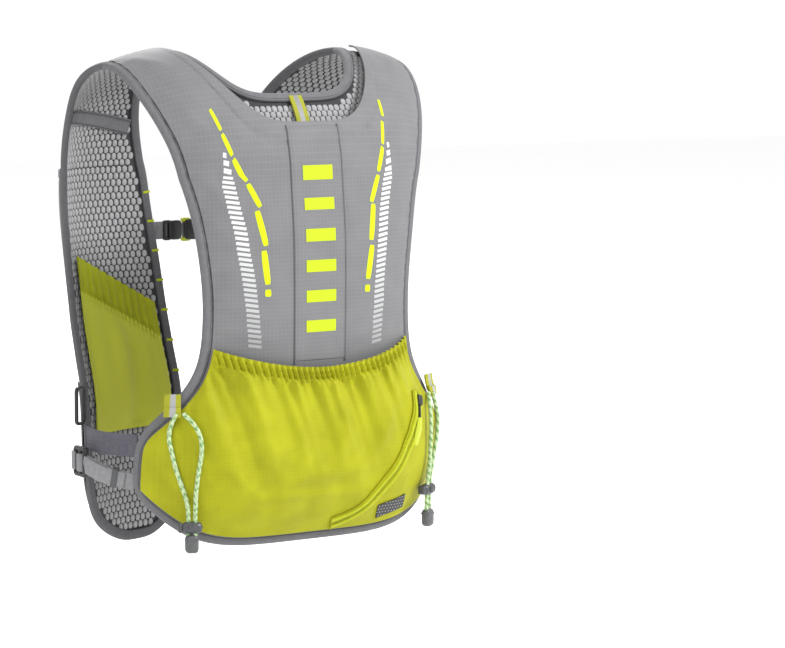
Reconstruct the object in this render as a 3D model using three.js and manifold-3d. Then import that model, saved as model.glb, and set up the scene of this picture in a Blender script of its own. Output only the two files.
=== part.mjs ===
// A running hydration vest, in its worn form, held up at its shoulders.
// Millimetres, +Z up. The wearer faces -Y and the wearer's left is +X.
// The origin is the point between the two shoulder seats, on the inner surface of the straps.
import * as THREE from 'three';
import { mergeVertices } from 'three/addons/utils/BufferGeometryUtils.js';
import Module from 'manifold-3d';

// Driving sizes of the worn form
const LENGTH = 394;
const HALF_WIDTH = 150;
const BACK_DEPTH = 90;
const FRONT_DEPTH = 110;
const ROUNDING = 95;
const SHOULDER_DROP = 13;
const FLAT_SHOULDER = 70;
const BACK_SQUARENESS = 3.6;
const NECK_SQUARENESS = 4.5;
const NECK_HALF_WIDTH = 87;
const NECK_DROP = 56;
const HEM_DROP = 387;
const FRONT_DROP = 398;
const HEM_RISE = 41;
const SEAM_GAP = 0.3;
const END_GAP = 0.95;

// Layers, outward from the wearer
const SHELL = 3;
const CLOTH = 1.2;
const CLEAR = 0.4;
const LAYER_CLEAR = 0.8;
const BINDING_WIDTH = 7;
const BINDING_INNER = 0.6;
const BINDING_OUTER = 4.4;
const WEBBING = 1.6;

// Fullness of the pockets at their deepest
const SLEEVE_FILL = 12;
const SLEEVE_TOP_DROP = 71;
const BACK_POCKET_FILL = 17;
const BACK_POCKET_TOP = 231;
const BACK_POCKET_SAG = 17;
const GATHER = 1.5;
const FLASK_FILL = 13;
const FLASK_TOP = 96;
const LOWER_POCKET_TOP = 259;
const LOWER_FILL = 15;
const OUTER_POCKET_TOP = 293;
const OUTER_POCKET_RISE = 24;
const OUTER_FILL = 4;
const INNER_FILL = 7;
const INNER_POCKET_TOP = 165;
const INNER_POCKET_SLOPE = 52;
const INNER_POCKET_BOTTOM = 312;

// Heights of what closes a flank, each from the one below it, above the corner of the back's hem
const STRAP_DROP = HEM_DROP - HEM_RISE - 5;
const LOCK_DROP = STRAP_DROP - 13;
const ELASTIC_DROP = LOCK_DROP - 17;
const SLOT_LOOP_DROP = ELASTIC_DROP - 25;

// Trims and hardware
const STRAP_WIDTH = 15;
const CENTRE_HALF_WIDTH = 24;
const ZIP_TAPE = 12;
const CORD = 3.6;
const UPPER_STRAP_DROP = 154;
const LOWER_STRAP_DROP = 329;
const BUCKLE_HEIGHT = 18;
const BUCKLE_THICK = 7;
const BUCKLE_FEMALE = 25;
const BUCKLE_MALE = 17;
const TONGUE_LENGTH = 14;
const TONGUE_THICK = 2.6;
const TONGUE_HEIGHT = 10;
const BUCKLE_CORNER = 3;
const DAISY_WIDTH = 5.6;
const DAISY_THICK = 1;
const DAISY_FROM = 0.24;
const DAISY_TO = 0.91;
const ELASTIC_WIDTH = 18;
const ELASTIC_THICK = 2;
const FLANK_BOW = 10;
const LOCK_HEIGHT = 25;
const LOCK_LENGTH = 21;
const LOCK_THICK = 4.5;
const LOCK_SLOT_AT = 5;
const LOCK_OUT = 13;
const LOCK_BACK = 13;
const SLOT_LOOP_WIDTH = 13;
const SLOT_LOOP_HEIGHT = 32;
const SLOT_LOOP_THICK = 3.2;
const ZIP_THICK = 1;
const FRONT_ZIP_DROP = 289;
const SLIDER_WIDTH = 7;
const SLIDER_HEIGHT = 9;
const SLIDER_THICK = 3.4;
const PULL_WIDTH = 6.5;
const PULL_LENGTH = 26;
const PULL_THICK = 4;
const PATCH_HEIGHT = 13;
const PATCH_THICK = 0.8;
const WHISTLE_DROP = 272;
const CHEST_LOCK_DROP = 112;
const CORD_SIDES = 8;
const LOCK_BODY_WIDTH = 18;
const FITTING_TURN = 0.4;
const LOCK_BODY_HEIGHT = 10;
const LOCK_BODY_THICK = 9;
const CORD_END_WIDTH = 11;
const CORD_END_HEIGHT = 15;
const CORD_END_THICK = 7.5;
const CORD_END_RISE = 1.5;
const LEFT_LOCK_Z = -372;
const RIGHT_LOCK_Z = -361;
const TAB_WIDTH = 10;
const TAB_LENGTH = 13;
const TAB_THICK = 2.2;
const TAB_IN = 4;
const LOOP_WIDTH = 12;
const TAPE_WIDTH = 12;
const TAPE_DROP = 68;
const TAPE_RISE = 17;
const HEM_INSET = 2;
const BOTTOM_LOOP_WIDTH = 8;
const SLOT_LOOP_TURN = 0.5;
const WHISTLE = { width: 6, height: 18, thick: 5, corner: 2.4, hole: 3 };
const CHEST_LOCK = { width: 8, height: 20, thick: 6, corner: 3 };

const wasm = await Module();
wasm.setup();

// Colours and finishes
const COLOURS = {
  ripstop: { color: 0x9a9a9c, roughness: 0.75, metalness: 0 },
  lime: { color: 0xd2d80e, roughness: 0.65, metalness: 0 },
  spacer: { color: 0xa8a8aa, roughness: 0.9, metalness: 0 },
  binding: { color: 0x7c7c80, roughness: 0.8, metalness: 0 },
  webbing: { color: 0x8c8c90, roughness: 0.8, metalness: 0 },
  plastic: { color: 0x26272a, roughness: 0.45, metalness: 0 },
  cord: { color: 0xd6e6c8, roughness: 0.7, metalness: 0 },
  reflective: { color: 0xb9c0a8, roughness: 0.35, metalness: 0.2 },
  orange: { color: 0xe8622a, roughness: 0.4, metalness: 0 },
};

const vest = new THREE.Group();

// Adds one named piece to the vest.
function add(name, geometry, finish, position = [0, 0, 0], rotation = [0, 0, 0]) {
  const mesh = new THREE.Mesh(geometry, new THREE.MeshStandardMaterial(COLOURS[finish]));
  mesh.name = name;
  mesh.position.set(...position);
  mesh.rotation.set(...rotation);
  vest.add(mesh);
  return mesh;
}

// Reads one named column of a table at a place on its first column, on a smooth curve.
function readTable(table, key, column, place) {
  const last = table.length - 1;
  const at = Math.min(Math.max(place, table[0][key]), table[last][key]);
  let i = 0;
  while (i < last - 1 && at > table[i + 1][key]) i += 1;
  const slope = (k) => {
    const low = table[Math.max(k - 1, 0)];
    const high = table[Math.min(k + 1, last)];
    return (high[column] - low[column]) / (high[key] - low[key]);
  };
  const span = table[i + 1][key] - table[i][key];
  const u = (at - table[i][key]) / span;
  const a = table[i][column];
  const b = table[i + 1][column];
  return (2 * u ** 3 - 3 * u ** 2 + 1) * a + (u ** 3 - 2 * u ** 2 + u) * span * slope(i)
    + (3 * u ** 2 - 2 * u ** 3) * b + (u ** 3 - u ** 2) * span * slope(i + 1);
}

// The worn form from the shoulder ridge down: down is a share of LENGTH, wide of HALF_WIDTH,
// deep of BACK_DEPTH or FRONT_DEPTH, and square says how square the front's section is
const BACK_FORM = [
  { down: 0, wide: 1.053, deep: 0.87 },
  { down: 0.127, wide: 1.04, deep: 0.9 },
  { down: 0.241, wide: 1.027, deep: 0.94 },
  { down: 0.381, wide: 1.007, deep: 1 },
  { down: 0.635, wide: 0.985, deep: 1 },
  { down: 0.838, wide: 0.95, deep: 0.97 },
  { down: 1.04, wide: 0.95, deep: 0.91 },
];
const FRONT_FORM = [
  { down: 0, wide: 1.05, deep: 0.9, square: 3 },
  { down: 0.127, wide: 1.02, deep: 0.95, square: 3 },
  { down: 0.241, wide: 1.012, deep: 0.98, square: 3 },
  { down: 0.317, wide: 1.01, deep: 0.985, square: 3 },
  { down: 0.414, wide: 1.01, deep: 0.92, square: 3 },
  { down: 0.541, wide: 1.01, deep: 0.8, square: 2.9 },
  { down: 0.622, wide: 1.01, deep: 0.7, square: 2.6 },
  { down: 0.723, wide: 1.01, deep: 0.57, square: 2.1 },
  { down: 0.888, wide: 1.01, deep: 0.5, square: 1.7 },
  { down: 1.04, wide: 1.01, deep: 0.47, square: 1.6 },
];

// Cut edges of the cloth: down is a share of LENGTH, and out a share of HALF_WIDTH
const BACK_EDGE = [
  { down: 0, out: 0.893 },
  { down: 0.053, out: 0.877 },
  { down: 0.107, out: 0.85 },
  { down: 0.157, out: 0.803 },
  { down: 0.213, out: 0.737 },
  { down: 0.292, out: 0.673 },
  { down: 0.381, out: 0.63 },
  { down: 0.482, out: 0.603 },
  { down: 0.571, out: 0.607 },
  { down: 0.622, out: 0.63 },
  { down: 0.66, out: 0.672 },
  { down: 0.698, out: 0.74 },
  { down: 0.731, out: 0.813 },
  { down: 0.766, out: 0.878 },
  { down: 0.8, out: 0.897 },
  { down: 1, out: 0.897 },
];
const FRONT_INNER_EDGE = [
  { down: 0, out: 0.583 },
  { down: 0.051, out: 0.55 },
  { down: 0.114, out: 0.483 },
  { down: 0.178, out: 0.41 },
  { down: 0.228, out: 0.35 },
  { down: 0.279, out: 0.31 },
  { down: 0.381, out: 0.283 },
  { down: 0.508, out: 0.269 },
  { down: 0.761, out: 0.269 },
  { down: 0.873, out: 0.278 },
  { down: 0.944, out: 0.31 },
  { down: 0.985, out: 0.39 },
  { down: 1.01, out: 0.5 },
];
const FRONT_OUTER_EDGE = [
  { down: 0, out: 0.893 },
  { down: 0.03, out: 0.92 },
  { down: 0.089, out: 0.953 },
  { down: 0.152, out: 0.965 },
  { down: 0.254, out: 0.943 },
  { down: 0.381, out: 0.92 },
  { down: 0.508, out: 0.917 },
  { down: 0.609, out: 0.933 },
  { down: 0.723, out: 0.95 },
  { down: 0.812, out: 0.963 },
  { down: 0.876, out: 0.965 },
  { down: 0.929, out: 0.94 },
  { down: 0.964, out: 0.885 },
  { down: 0.995, out: 0.775 },
  { down: 1.01, out: 0.68 },
];

// Fullness down a pocket: along is a share of the pocket's height, and full of its fill
const SLEEVE_PROFILE = [
  { down: 0, full: 0.24 },
  { down: 0.1, full: 0.55 },
  { down: 0.2, full: 0.97 },
  { down: 0.32, full: 1 },
  { down: 0.5, full: 1 },
  { down: 0.72, full: 0.9 },
  { down: 0.9, full: 0.4 },
  { down: 1, full: 0 },
];
const POCKET_PROFILE = [
  { along: 0, full: 0.54 },
  { along: 0.15, full: 0.68 },
  { along: 0.4, full: 0.92 },
  { along: 0.62, full: 1 },
  { along: 0.82, full: 0.7 },
  { along: 0.95, full: 0.2 },
  { along: 1, full: 0 },
];
const FLASK_PROFILE = [
  { along: 0, full: 0.6 },
  { along: 0.3, full: 0.95 },
  { along: 0.6, full: 1 },
  { along: 0.85, full: 0.55 },
  { along: 1, full: 0.06 },
];

// Rows of the panels and pockets, as shares of their height, closer where they round or gather
const BACK_ROWS = [0, 0.035, 0.08, 0.13, 0.185, 0.25, 0.35, 0.47, 0.58, 0.66, 0.72, 0.78, 0.85, 0.93, 1];
const FRONT_ROWS = [
  0, 0.035, 0.08, 0.13, 0.185, 0.24, 0.32, 0.43, 0.54, 0.65, 0.75, 0.84, 0.91, 0.96, 0.988, 1,
];
const BACK_POCKET_ROWS = [0, 0.07, 0.17, 0.34, 0.53, 0.72, 0.88, 1];
const LOWER_ROWS = [0, 0.11, 0.26, 0.45, 0.64, 0.83, 1];

// Height of the shoulder ridge at a distance from the centre.
function ridge(x) {
  const past = Math.max(Math.abs(x) - FLAT_SHOULDER, 0) / (HALF_WIDTH / 2);
  return -SHOULDER_DROP * past ** 2.2;
}

// A point of the wearer's side of the cloth: side is 1 at the back and -1 at the front,
// x runs across and v runs down from 0 at the ridge.
function form(side, x, v) {
  const table = side > 0 ? BACK_FORM : FRONT_FORM;
  const power = side > 0 ? BACK_SQUARENESS : readTable(table, 'down', 'square', -v / LENGTH);
  const depth = side > 0 ? BACK_DEPTH : FRONT_DEPTH;
  const wide = HALF_WIDTH * readTable(table, 'down', 'wide', -v / LENGTH);
  const deep = depth * readTable(table, 'down', 'deep', -v / LENGTH);
  const share = Math.min(Math.abs(x) / wide, 0.995);
  const round = (1 - share ** power) ** (1 / power);
  const turn = Math.max((v + ROUNDING) / ROUNDING, 0) * Math.PI / 2;
  const z = v < -ROUNDING ? v : -ROUNDING + (ridge(x) + ROUNDING) * Math.sin(turn);
  return new THREE.Vector3(x, side * deep * round * Math.cos(turn), z);
}

// The outward direction of the cloth at a point.
function outward(side, x, v) {
  const step = 0.5;
  const across = form(side, x + step, v).sub(form(side, x - step, v));
  const low = Math.min(v, -step);
  const along = form(side, x, low + step).sub(form(side, x, low - step));
  return across.cross(along).multiplyScalar(-side).normalize();
}

// A point at a distance outward from the wearer's side of the cloth.
function place(side, x, v, off) {
  return form(side, x, v).addScaledVector(outward(side, x, v), off);
}

// Makes one closed body from vertices and faces, with its faces pointing out.
function closedBody(points, faces) {
  let volume = 0;
  for (const [a, b, c] of faces) {
    volume += points[a].dot(new THREE.Vector3().crossVectors(points[b], points[c]));
  }
  const ordered = volume < 0 ? faces.map(([a, b, c]) => [a, c, b]) : faces;
  const geometry = new THREE.BufferGeometry();
  const places = points.flatMap((p) => p.toArray());
  geometry.setAttribute('position', new THREE.Float32BufferAttribute(places, 3));
  geometry.setIndex(ordered.flat());
  return geometry;
}

// Closes two matching grids of points, an outer and an inner one, into a wall.
function wallBetween(outer, inner) {
  const rows = outer.length;
  const cols = outer[0].length;
  const points = [...outer.flat(), ...inner.flat()];
  const faces = [];
  const id = (layer, j, i) => layer * rows * cols + j * cols + i;
  for (let j = 0; j < rows - 1; j += 1) {
    for (let i = 0; i < cols - 1; i += 1) {
      faces.push([id(0, j, i), id(0, j + 1, i), id(0, j, i + 1)]);
      faces.push([id(0, j, i + 1), id(0, j + 1, i), id(0, j + 1, i + 1)]);
      faces.push([id(1, j, i), id(1, j, i + 1), id(1, j + 1, i)]);
      faces.push([id(1, j, i + 1), id(1, j + 1, i + 1), id(1, j + 1, i)]);
    }
  }
  const rim = [];
  for (let i = 0; i < cols - 1; i += 1) rim.push([0, i]);
  for (let j = 0; j < rows - 1; j += 1) rim.push([j, cols - 1]);
  for (let i = cols - 1; i > 0; i -= 1) rim.push([rows - 1, i]);
  for (let j = rows - 1; j > 0; j -= 1) rim.push([j, 0]);
  rim.forEach(([j, i], k) => {
    const [jn, iN] = rim[(k + 1) % rim.length];
    faces.push([id(0, j, i), id(0, jn, iN), id(1, j, i)]);
    faces.push([id(0, jn, iN), id(1, jn, iN), id(1, j, i)]);
  });
  return closedBody(points, faces);
}

// A wall of cloth over a grid of places, between two distances outward.
function clothWall(side, grid, inner, outer) {
  const layer = (off) => grid.map((row) => row.map(([x, v]) => place(side, x, v, off(x, v))));
  return wallBetween(layer(outer), layer(inner));
}

// Even shares from 0 to 1.
const shares = (count) => Array.from({ length: count + 1 }, (_, i) => i / count);

// Where the back panel's cloth ends, and how far across it a place lies.
const backEdge = (v) => HALF_WIDTH * readTable(BACK_EDGE, 'down', 'out', -v / LENGTH);
const acrossBack = (x, v) => Math.min(Math.abs(x) / backEdge(v), 1);
const cornerShare = NECK_HALF_WIDTH / backEdge(0);

// The back panel's top and bottom edges, at a share of its half width.
function backTop(s, drop, corner) {
  const r = Math.abs(s) / corner;
  return r < 1 ? -drop * (1 - r ** NECK_SQUARENESS) - SEAM_GAP : -SEAM_GAP;
}
const backHem = (s) => -HEM_DROP + HEM_RISE * Math.abs(s) ** 5;

// A grid of places on the back, from a top edge to a bottom edge, within a share of its width.
function backGrid(columns, rows, top, bottom, inset) {
  return rows.map((t) => columns.map((s) => {
    const v = top(s) + (bottom(s) - top(s)) * t;
    return [s * (backEdge(v) - inset), v];
  }));
}

// Columns that meet the corners of the neck, closer towards corners and edges.
function backColumns(inNeck, onShoulder, corner) {
  const half = [
    ...shares(inNeck).map((u) => corner * (1 - (1 - u) ** 1.6)),
    ...shares(onShoulder).slice(1).map((u) => 1 - (1 - corner) * (1 - u) ** 1.5),
  ];
  return [...half.slice(1).reverse().map((s) => -s), ...half];
}

// The front panel's place at a share across it from the inner to the outer edge, for one side.
const frontInner = (v) => HALF_WIDTH * readTable(FRONT_INNER_EDGE, 'down', 'out', -v / LENGTH);
const frontOuter = (v) => HALF_WIDTH * readTable(FRONT_OUTER_EDGE, 'down', 'out', -v / LENGTH);
const frontX = (hand, s, v) => hand * (frontInner(v) + (frontOuter(v) - frontInner(v)) * s);
const acrossFront = (x, v) => (Math.abs(x) - frontInner(v)) / (frontOuter(v) - frontInner(v));
const frontBottom = -FRONT_DROP;

// A grid of places on a front panel, between a top and a bottom edge.
function frontGrid(hand, count, rows, top, bottom, inset) {
  return rows.map((t) => shares(count).map((u) => {
    const s = inset + (1 - 2 * inset) * u;
    const v = top(s) + (bottom(s) - top(s)) * t;
    return [frontX(hand, s, v), v];
  }));
}

// A tape sewn round a cut edge: it follows the edge's own corners, just outside them.
// Its ends lie at the shoulder ridge and are cut square to it.
function edgeTape(side, edge, width, outerSide) {
  const middle = edge.map(([x, v]) => place(side, x, v, SHELL / 2));
  const normals = edge.map(([x, v]) => outward(side, x, v));
  for (const end of [normals[0], normals.at(-1)]) end.setY(0).normalize();
  const section = middle.map((point, k) => {
    const before = middle[Math.max(k - 1, 0)];
    const after = middle[Math.min(k + 1, middle.length - 1)];
    const tangent = after.clone().sub(before).normalize();
    const aside = tangent.cross(normals[k]).multiplyScalar(outerSide);
    if (k === 0 || k === middle.length - 1) aside.setY(0);
    aside.normalize();
    const corner = (u, w) => point.clone()
      .addScaledVector(aside, u)
      .addScaledVector(normals[k], w - SHELL / 2);
    return [
      corner(CLEAR, BINDING_OUTER),
      corner(width, BINDING_OUTER - 1),
      corner(width, 1 - BINDING_INNER),
      corner(CLEAR, -BINDING_INNER),
    ];
  });
  return sweptBody(section);
}

// One closed body through matching sections, capped at both ends.
function sweptBody(sections) {
  const count = sections[0].length;
  const points = sections.flat();
  const faces = [];
  for (let k = 0; k < sections.length - 1; k += 1) {
    for (let i = 0; i < count; i += 1) {
      const a = k * count + i;
      const b = k * count + (i + 1) % count;
      faces.push([a, b, a + count], [b, b + count, a + count]);
    }
  }
  const last = (sections.length - 1) * count;
  for (let i = 1; i < count - 1; i += 1) {
    faces.push([0, i + 1, i], [last, last + i, last + i + 1]);
  }
  return closedBody(points, faces);
}

// A flat tape along a list of places on the cloth, raised over what lies under it.
function laidTape(side, route, width, under, thick) {
  const grid = route.map(([x, v], k) => {
    const [xa, va] = route[Math.max(k - 1, 0)];
    const [xb, vb] = route[Math.min(k + 1, route.length - 1)];
    const length = Math.hypot(xb - xa, vb - va);
    const aside = [-(vb - va) / length, (xb - xa) / length];
    return [-0.5, 0, 0.5].map((u) => [x + aside[0] * u * width, v + aside[1] * u * width]);
  });
  return clothWall(side, grid, under, (x, v) => under(x, v) + thick);
}

// A solid of the boolean library from a closed geometry, and back again.
function toManifold(geometry, matrix = new THREE.Matrix4()) {
  const bare = geometry.clone().applyMatrix4(matrix);
  bare.deleteAttribute('normal');
  bare.deleteAttribute('uv');
  const merged = mergeVertices(bare, 1e-4);
  return new wasm.Manifold(new wasm.Mesh({
    numProp: 3,
    vertProperties: new Float32Array(merged.attributes.position.array),
    triVerts: new Uint32Array(merged.index.array),
  }));
}
function fromManifold(solid) {
  const mesh = solid.getMesh();
  const geometry = new THREE.BufferGeometry();
  geometry.setAttribute('position', new THREE.Float32BufferAttribute(mesh.vertProperties, 3));
  geometry.setIndex(Array.from(mesh.triVerts));
  return geometry;
}

// A plate with rounded corners, centred, its thickness along Z, with round-ended slots cut through.
function slottedPlate(width, height, thick, corner, slots = []) {
  const outline = roundedRect(new THREE.Shape(), width, height, corner, 0, 0);
  for (const slot of slots) {
    const rounding = Math.min(slot.width, slot.height) * 0.3;
    const hole = roundedRect(new THREE.Path(), slot.width, slot.height, rounding, slot.x, slot.y);
    outline.holes.push(hole);
  }
  const settings = { depth: thick, bevelEnabled: false, curveSegments: 2 };
  const geometry = new THREE.ExtrudeGeometry(outline, settings);
  return geometry.translate(0, 0, -thick / 2);
}

// Traces a rounded rectangle about a centre.
function roundedRect(path, width, height, corner, cx, cy) {
  const w = width / 2;
  const h = height / 2;
  path.moveTo(cx - w + corner, cy - h);
  path.lineTo(cx + w - corner, cy - h);
  path.quadraticCurveTo(cx + w, cy - h, cx + w, cy - h + corner);
  path.lineTo(cx + w, cy + h - corner);
  path.quadraticCurveTo(cx + w, cy + h, cx + w - corner, cy + h);
  path.lineTo(cx - w + corner, cy + h);
  path.quadraticCurveTo(cx - w, cy + h, cx - w, cy + h - corner);
  path.lineTo(cx - w, cy - h + corner);
  path.quadraticCurveTo(cx - w, cy - h, cx - w + corner, cy - h);
  return path;
}

// Distances outward of each layer of the back
const sleeveFill = (x, v) => SLEEVE_FILL * readTable(SLEEVE_PROFILE, 'down', 'full', -v / LENGTH)
  * (1 - acrossBack(x, v) ** 3);
const sleeveInner = (x, v) => SHELL + LAYER_CLEAR + sleeveFill(x, v);
const sleeveOuter = (x, v) => sleeveInner(x, v) + CLOTH;
const pocketTop = (s) => -BACK_POCKET_TOP - BACK_POCKET_SAG * (1 - Math.abs(s) ** 1.8);
function pocketInner(x, v) {
  const s = acrossBack(x, v);
  const along = (pocketTop(s) - v) / (pocketTop(s) - backHem(s));
  const fill = BACK_POCKET_FILL * readTable(POCKET_PROFILE, 'along', 'full', along) * (1 - s ** 3.5);
  return sleeveOuter(x, v) + LAYER_CLEAR + fill;
}
const pocketOuter = (x, v) => pocketInner(x, v) + CLOTH;

// The padded mesh back, the water sleeve over it and the gathered pocket over that.
function makeBack() {
  const columns = backColumns(8, 5, cornerShare);
  const neckTop = (s) => backTop(s, NECK_DROP, cornerShare);
  const back = backGrid(columns, BACK_ROWS, neckTop, backHem, 0);
  add('back_panel', clothWall(1, back, () => 0, () => SHELL), 'spacer');

  const sleeveCorner = cornerShare + BINDING_WIDTH / HALF_WIDTH;
  const sleeveColumns = backColumns(8, 5, sleeveCorner);
  const sleeveTop = (s) => backTop(s, SLEEVE_TOP_DROP, sleeveCorner);
  const sleeve = backGrid(sleeveColumns, BACK_ROWS, sleeveTop, backHem, HEM_INSET);
  add('bladder_sleeve', clothWall(1, sleeve, sleeveInner, sleeveOuter), 'ripstop');

  const panelTop = -SLEEVE_TOP_DROP - 2 * HEM_INSET;
  const panelBottom = -BACK_POCKET_TOP - BACK_POCKET_SAG + 2 * HEM_INSET;
  const sleeveRows = BACK_ROWS.map((t) => sleeveTop(0) + (backHem(0) - sleeveTop(0)) * t);
  const between = sleeveRows.filter((v) => v < panelTop - HEM_INSET && v > panelBottom + HEM_INSET);
  const panelRoute = [panelTop, ...between, panelBottom].map((v) => [0, v]);
  const overSleeve = (x, v) => sleeveOuter(x, v) + LAYER_CLEAR;
  add('centre_panel', laidTape(1, panelRoute, 2 * CENTRE_HALF_WIDTH, overSleeve, CLOTH / 2), 'ripstop');

  const pocketColumns = shares(28).map((u) => 2 * u - 1);
  const pocket = backGrid(pocketColumns, BACK_POCKET_ROWS, pocketTop, backHem, HEM_INSET);
  const gather = (j, i) => (i % 2 === 0 ? GATHER : 0) * Math.max(1 - j / 3, 0);
  const layer = (off) => pocket.map((row, j) => row.map(
    ([x, v], i) => place(1, x, v, off(x, v) + gather(j, i)),
  ));
  add('back_pocket', wallBetween(layer(pocketOuter), layer(pocketInner)), 'lime');

  const edge = [
    ...back.map((row) => row[0]),
    ...back.at(-1).slice(1, -1),
    ...back.map((row) => row.at(-1)).reverse(),
  ];
  add('back_binding', edgeTape(1, edge, BINDING_WIDTH, -1), 'binding');
  const neckRow = back[0].filter((_, i) => Math.abs(columns[i]) <= cornerShare + 0.001);
  add('neck_binding', edgeTape(1, neckRow, BINDING_WIDTH, 1), 'binding');

  const loopDrop = SLEEVE_TOP_DROP - NECK_DROP + LOOP_WIDTH - HEM_INSET;
  const loopRoute = shares(3).map((t) => [0, -NECK_DROP - HEM_INSET - loopDrop * t]);
  add('bladder_loop', laidTape(1, loopRoute, LOOP_WIDTH, () => SHELL + LAYER_CLEAR, 1), 'lime');
}

// Distances outward of each layer of a front panel
const bow = (s) => Math.sin(Math.PI * Math.min(Math.max(s, 0), 1)) ** 0.8;
function flaskInner(x, v) {
  const along = (-v - FLASK_TOP) / (LOWER_POCKET_TOP - FLASK_TOP);
  const fill = FLASK_FILL * readTable(FLASK_PROFILE, 'along', 'full', along);
  return SHELL + LAYER_CLEAR + fill * bow(acrossFront(x, v));
}
function lowerInner(x, v) {
  const along = (-v - LOWER_POCKET_TOP) / (FRONT_DROP - LOWER_POCKET_TOP);
  const fill = LOWER_FILL * readTable(POCKET_PROFILE, 'along', 'full', along) * bow(acrossFront(x, v));
  return SHELL + LAYER_CLEAR + fill;
}
const lowerOuter = (x, v) => lowerInner(x, v) + CLOTH;
const outerPocketTop = (s) => -OUTER_POCKET_TOP + OUTER_POCKET_RISE * s ** 2;
function outerInner(x, v) {
  return lowerOuter(x, v) + LAYER_CLEAR + OUTER_FILL * bow(acrossFront(x, v));
}

// One front panel with its pockets, bindings, tapes and daisy strip.
function makeFront(hand, name) {
  const panel = frontGrid(hand, 6, FRONT_ROWS, () => -SEAM_GAP, () => frontBottom, 0);
  add(`front_panel_${name}`, clothWall(-1, panel, () => 0, () => SHELL), 'spacer');
  const edge = [
    ...panel.map((row) => row[0]),
    ...panel.at(-1).slice(1, -1),
    ...panel.map((row) => row.at(-1)).reverse(),
  ];
  add(`front_binding_${name}`, edgeTape(-1, edge, BINDING_WIDTH, hand), 'binding');

  const flaskBottom = -LOWER_POCKET_TOP + END_GAP;
  const flask = frontGrid(hand, 8, shares(8), () => -FLASK_TOP, () => flaskBottom, 0.02);
  const flaskOuter = (x, v) => flaskInner(x, v) + CLOTH;
  add(`flask_pocket_${name}`, clothWall(-1, flask, flaskInner, flaskOuter), 'ripstop');

  const lowerBottom = frontBottom + HEM_INSET / 2;
  const lower = frontGrid(hand, 14, LOWER_ROWS, () => -LOWER_POCKET_TOP, () => lowerBottom, 0.03);
  const gather = (j, i) => (i % 2 === 0 ? GATHER : 0) * Math.max(1 - j / 2, 0);
  const layer = (off) => lower.map((row, j) => row.map(
    ([x, v], i) => place(-1, x, v, off(x, v) + gather(j, i)),
  ));
  add(`lower_pocket_${name}`, wallBetween(layer(lowerOuter), layer(lowerInner)), 'lime');

  const innerTop = (s) => -INNER_POCKET_TOP - INNER_POCKET_SLOPE * (1 - s);
  const inner = frontGrid(hand, 6, shares(6), innerTop, () => -INNER_POCKET_BOTTOM, 0.08);
  const innerFill = (x, v) => {
    const s = acrossFront(x, v);
    const along = (innerTop(s) - v) / (innerTop(s) + INNER_POCKET_BOTTOM);
    return -2 * LAYER_CLEAR - INNER_FILL * readTable(POCKET_PROFILE, 'along', 'full', along) * bow(s);
  };
  const innerSide = (x, v) => innerFill(x, v) - CLOTH;
  add(`inner_pocket_${name}`, clothWall(-1, inner, innerSide, innerFill), 'lime');

  const tapeRoute = shares(6).map((u) => {
    const v = -TAPE_DROP + TAPE_RISE * u;
    return [frontX(hand, 0.94 - 0.88 * u, v), v];
  });
  const tape = laidTape(-1, tapeRoute, TAPE_WIDTH, () => SHELL + LAYER_CLEAR, 1);
  add(`reflective_tape_${name}`, tape, 'reflective');
}

// A band of even width along a curve of points, its width along a given direction.
function ribbon(points, wide, width, thick) {
  const curve = new THREE.CatmullRomCurve3(points);
  const steps = 4 * (points.length - 1);
  return sweptBody(shares(steps).map((u) => {
    const middle = curve.getPoint(u);
    const tangent = curve.getTangent(u);
    const aside = wide.clone().addScaledVector(tangent, -wide.dot(tangent)).normalize();
    const flat = tangent.clone().cross(aside);
    const corner = (a, b) => middle.clone()
      .addScaledVector(aside, a * width / 2)
      .addScaledVector(flat, b * thick / 2);
    return [corner(1, 1), corner(-1, 1), corner(-1, -1), corner(1, -1)];
  }));
}

// The daisy strip that runs over the inner edge tape of a front panel
const daisyUnder = BINDING_OUTER + 1.2 * LAYER_CLEAR;
const daisyOuter = daisyUnder + DAISY_THICK;
function makeDaisyStrip(hand, name) {
  const route = FRONT_ROWS.filter((t) => t >= DAISY_FROM && t <= DAISY_TO).map((t) => {
    const v = -SEAM_GAP + (frontBottom + SEAM_GAP) * t;
    return [hand * (frontInner(v) - BINDING_WIDTH / 2 - CLEAR / 2), v];
  });
  add(`daisy_strip_${name}`, laidTape(-1, route, DAISY_WIDTH, () => daisyUnder, DAISY_THICK), 'webbing');
}

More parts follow.
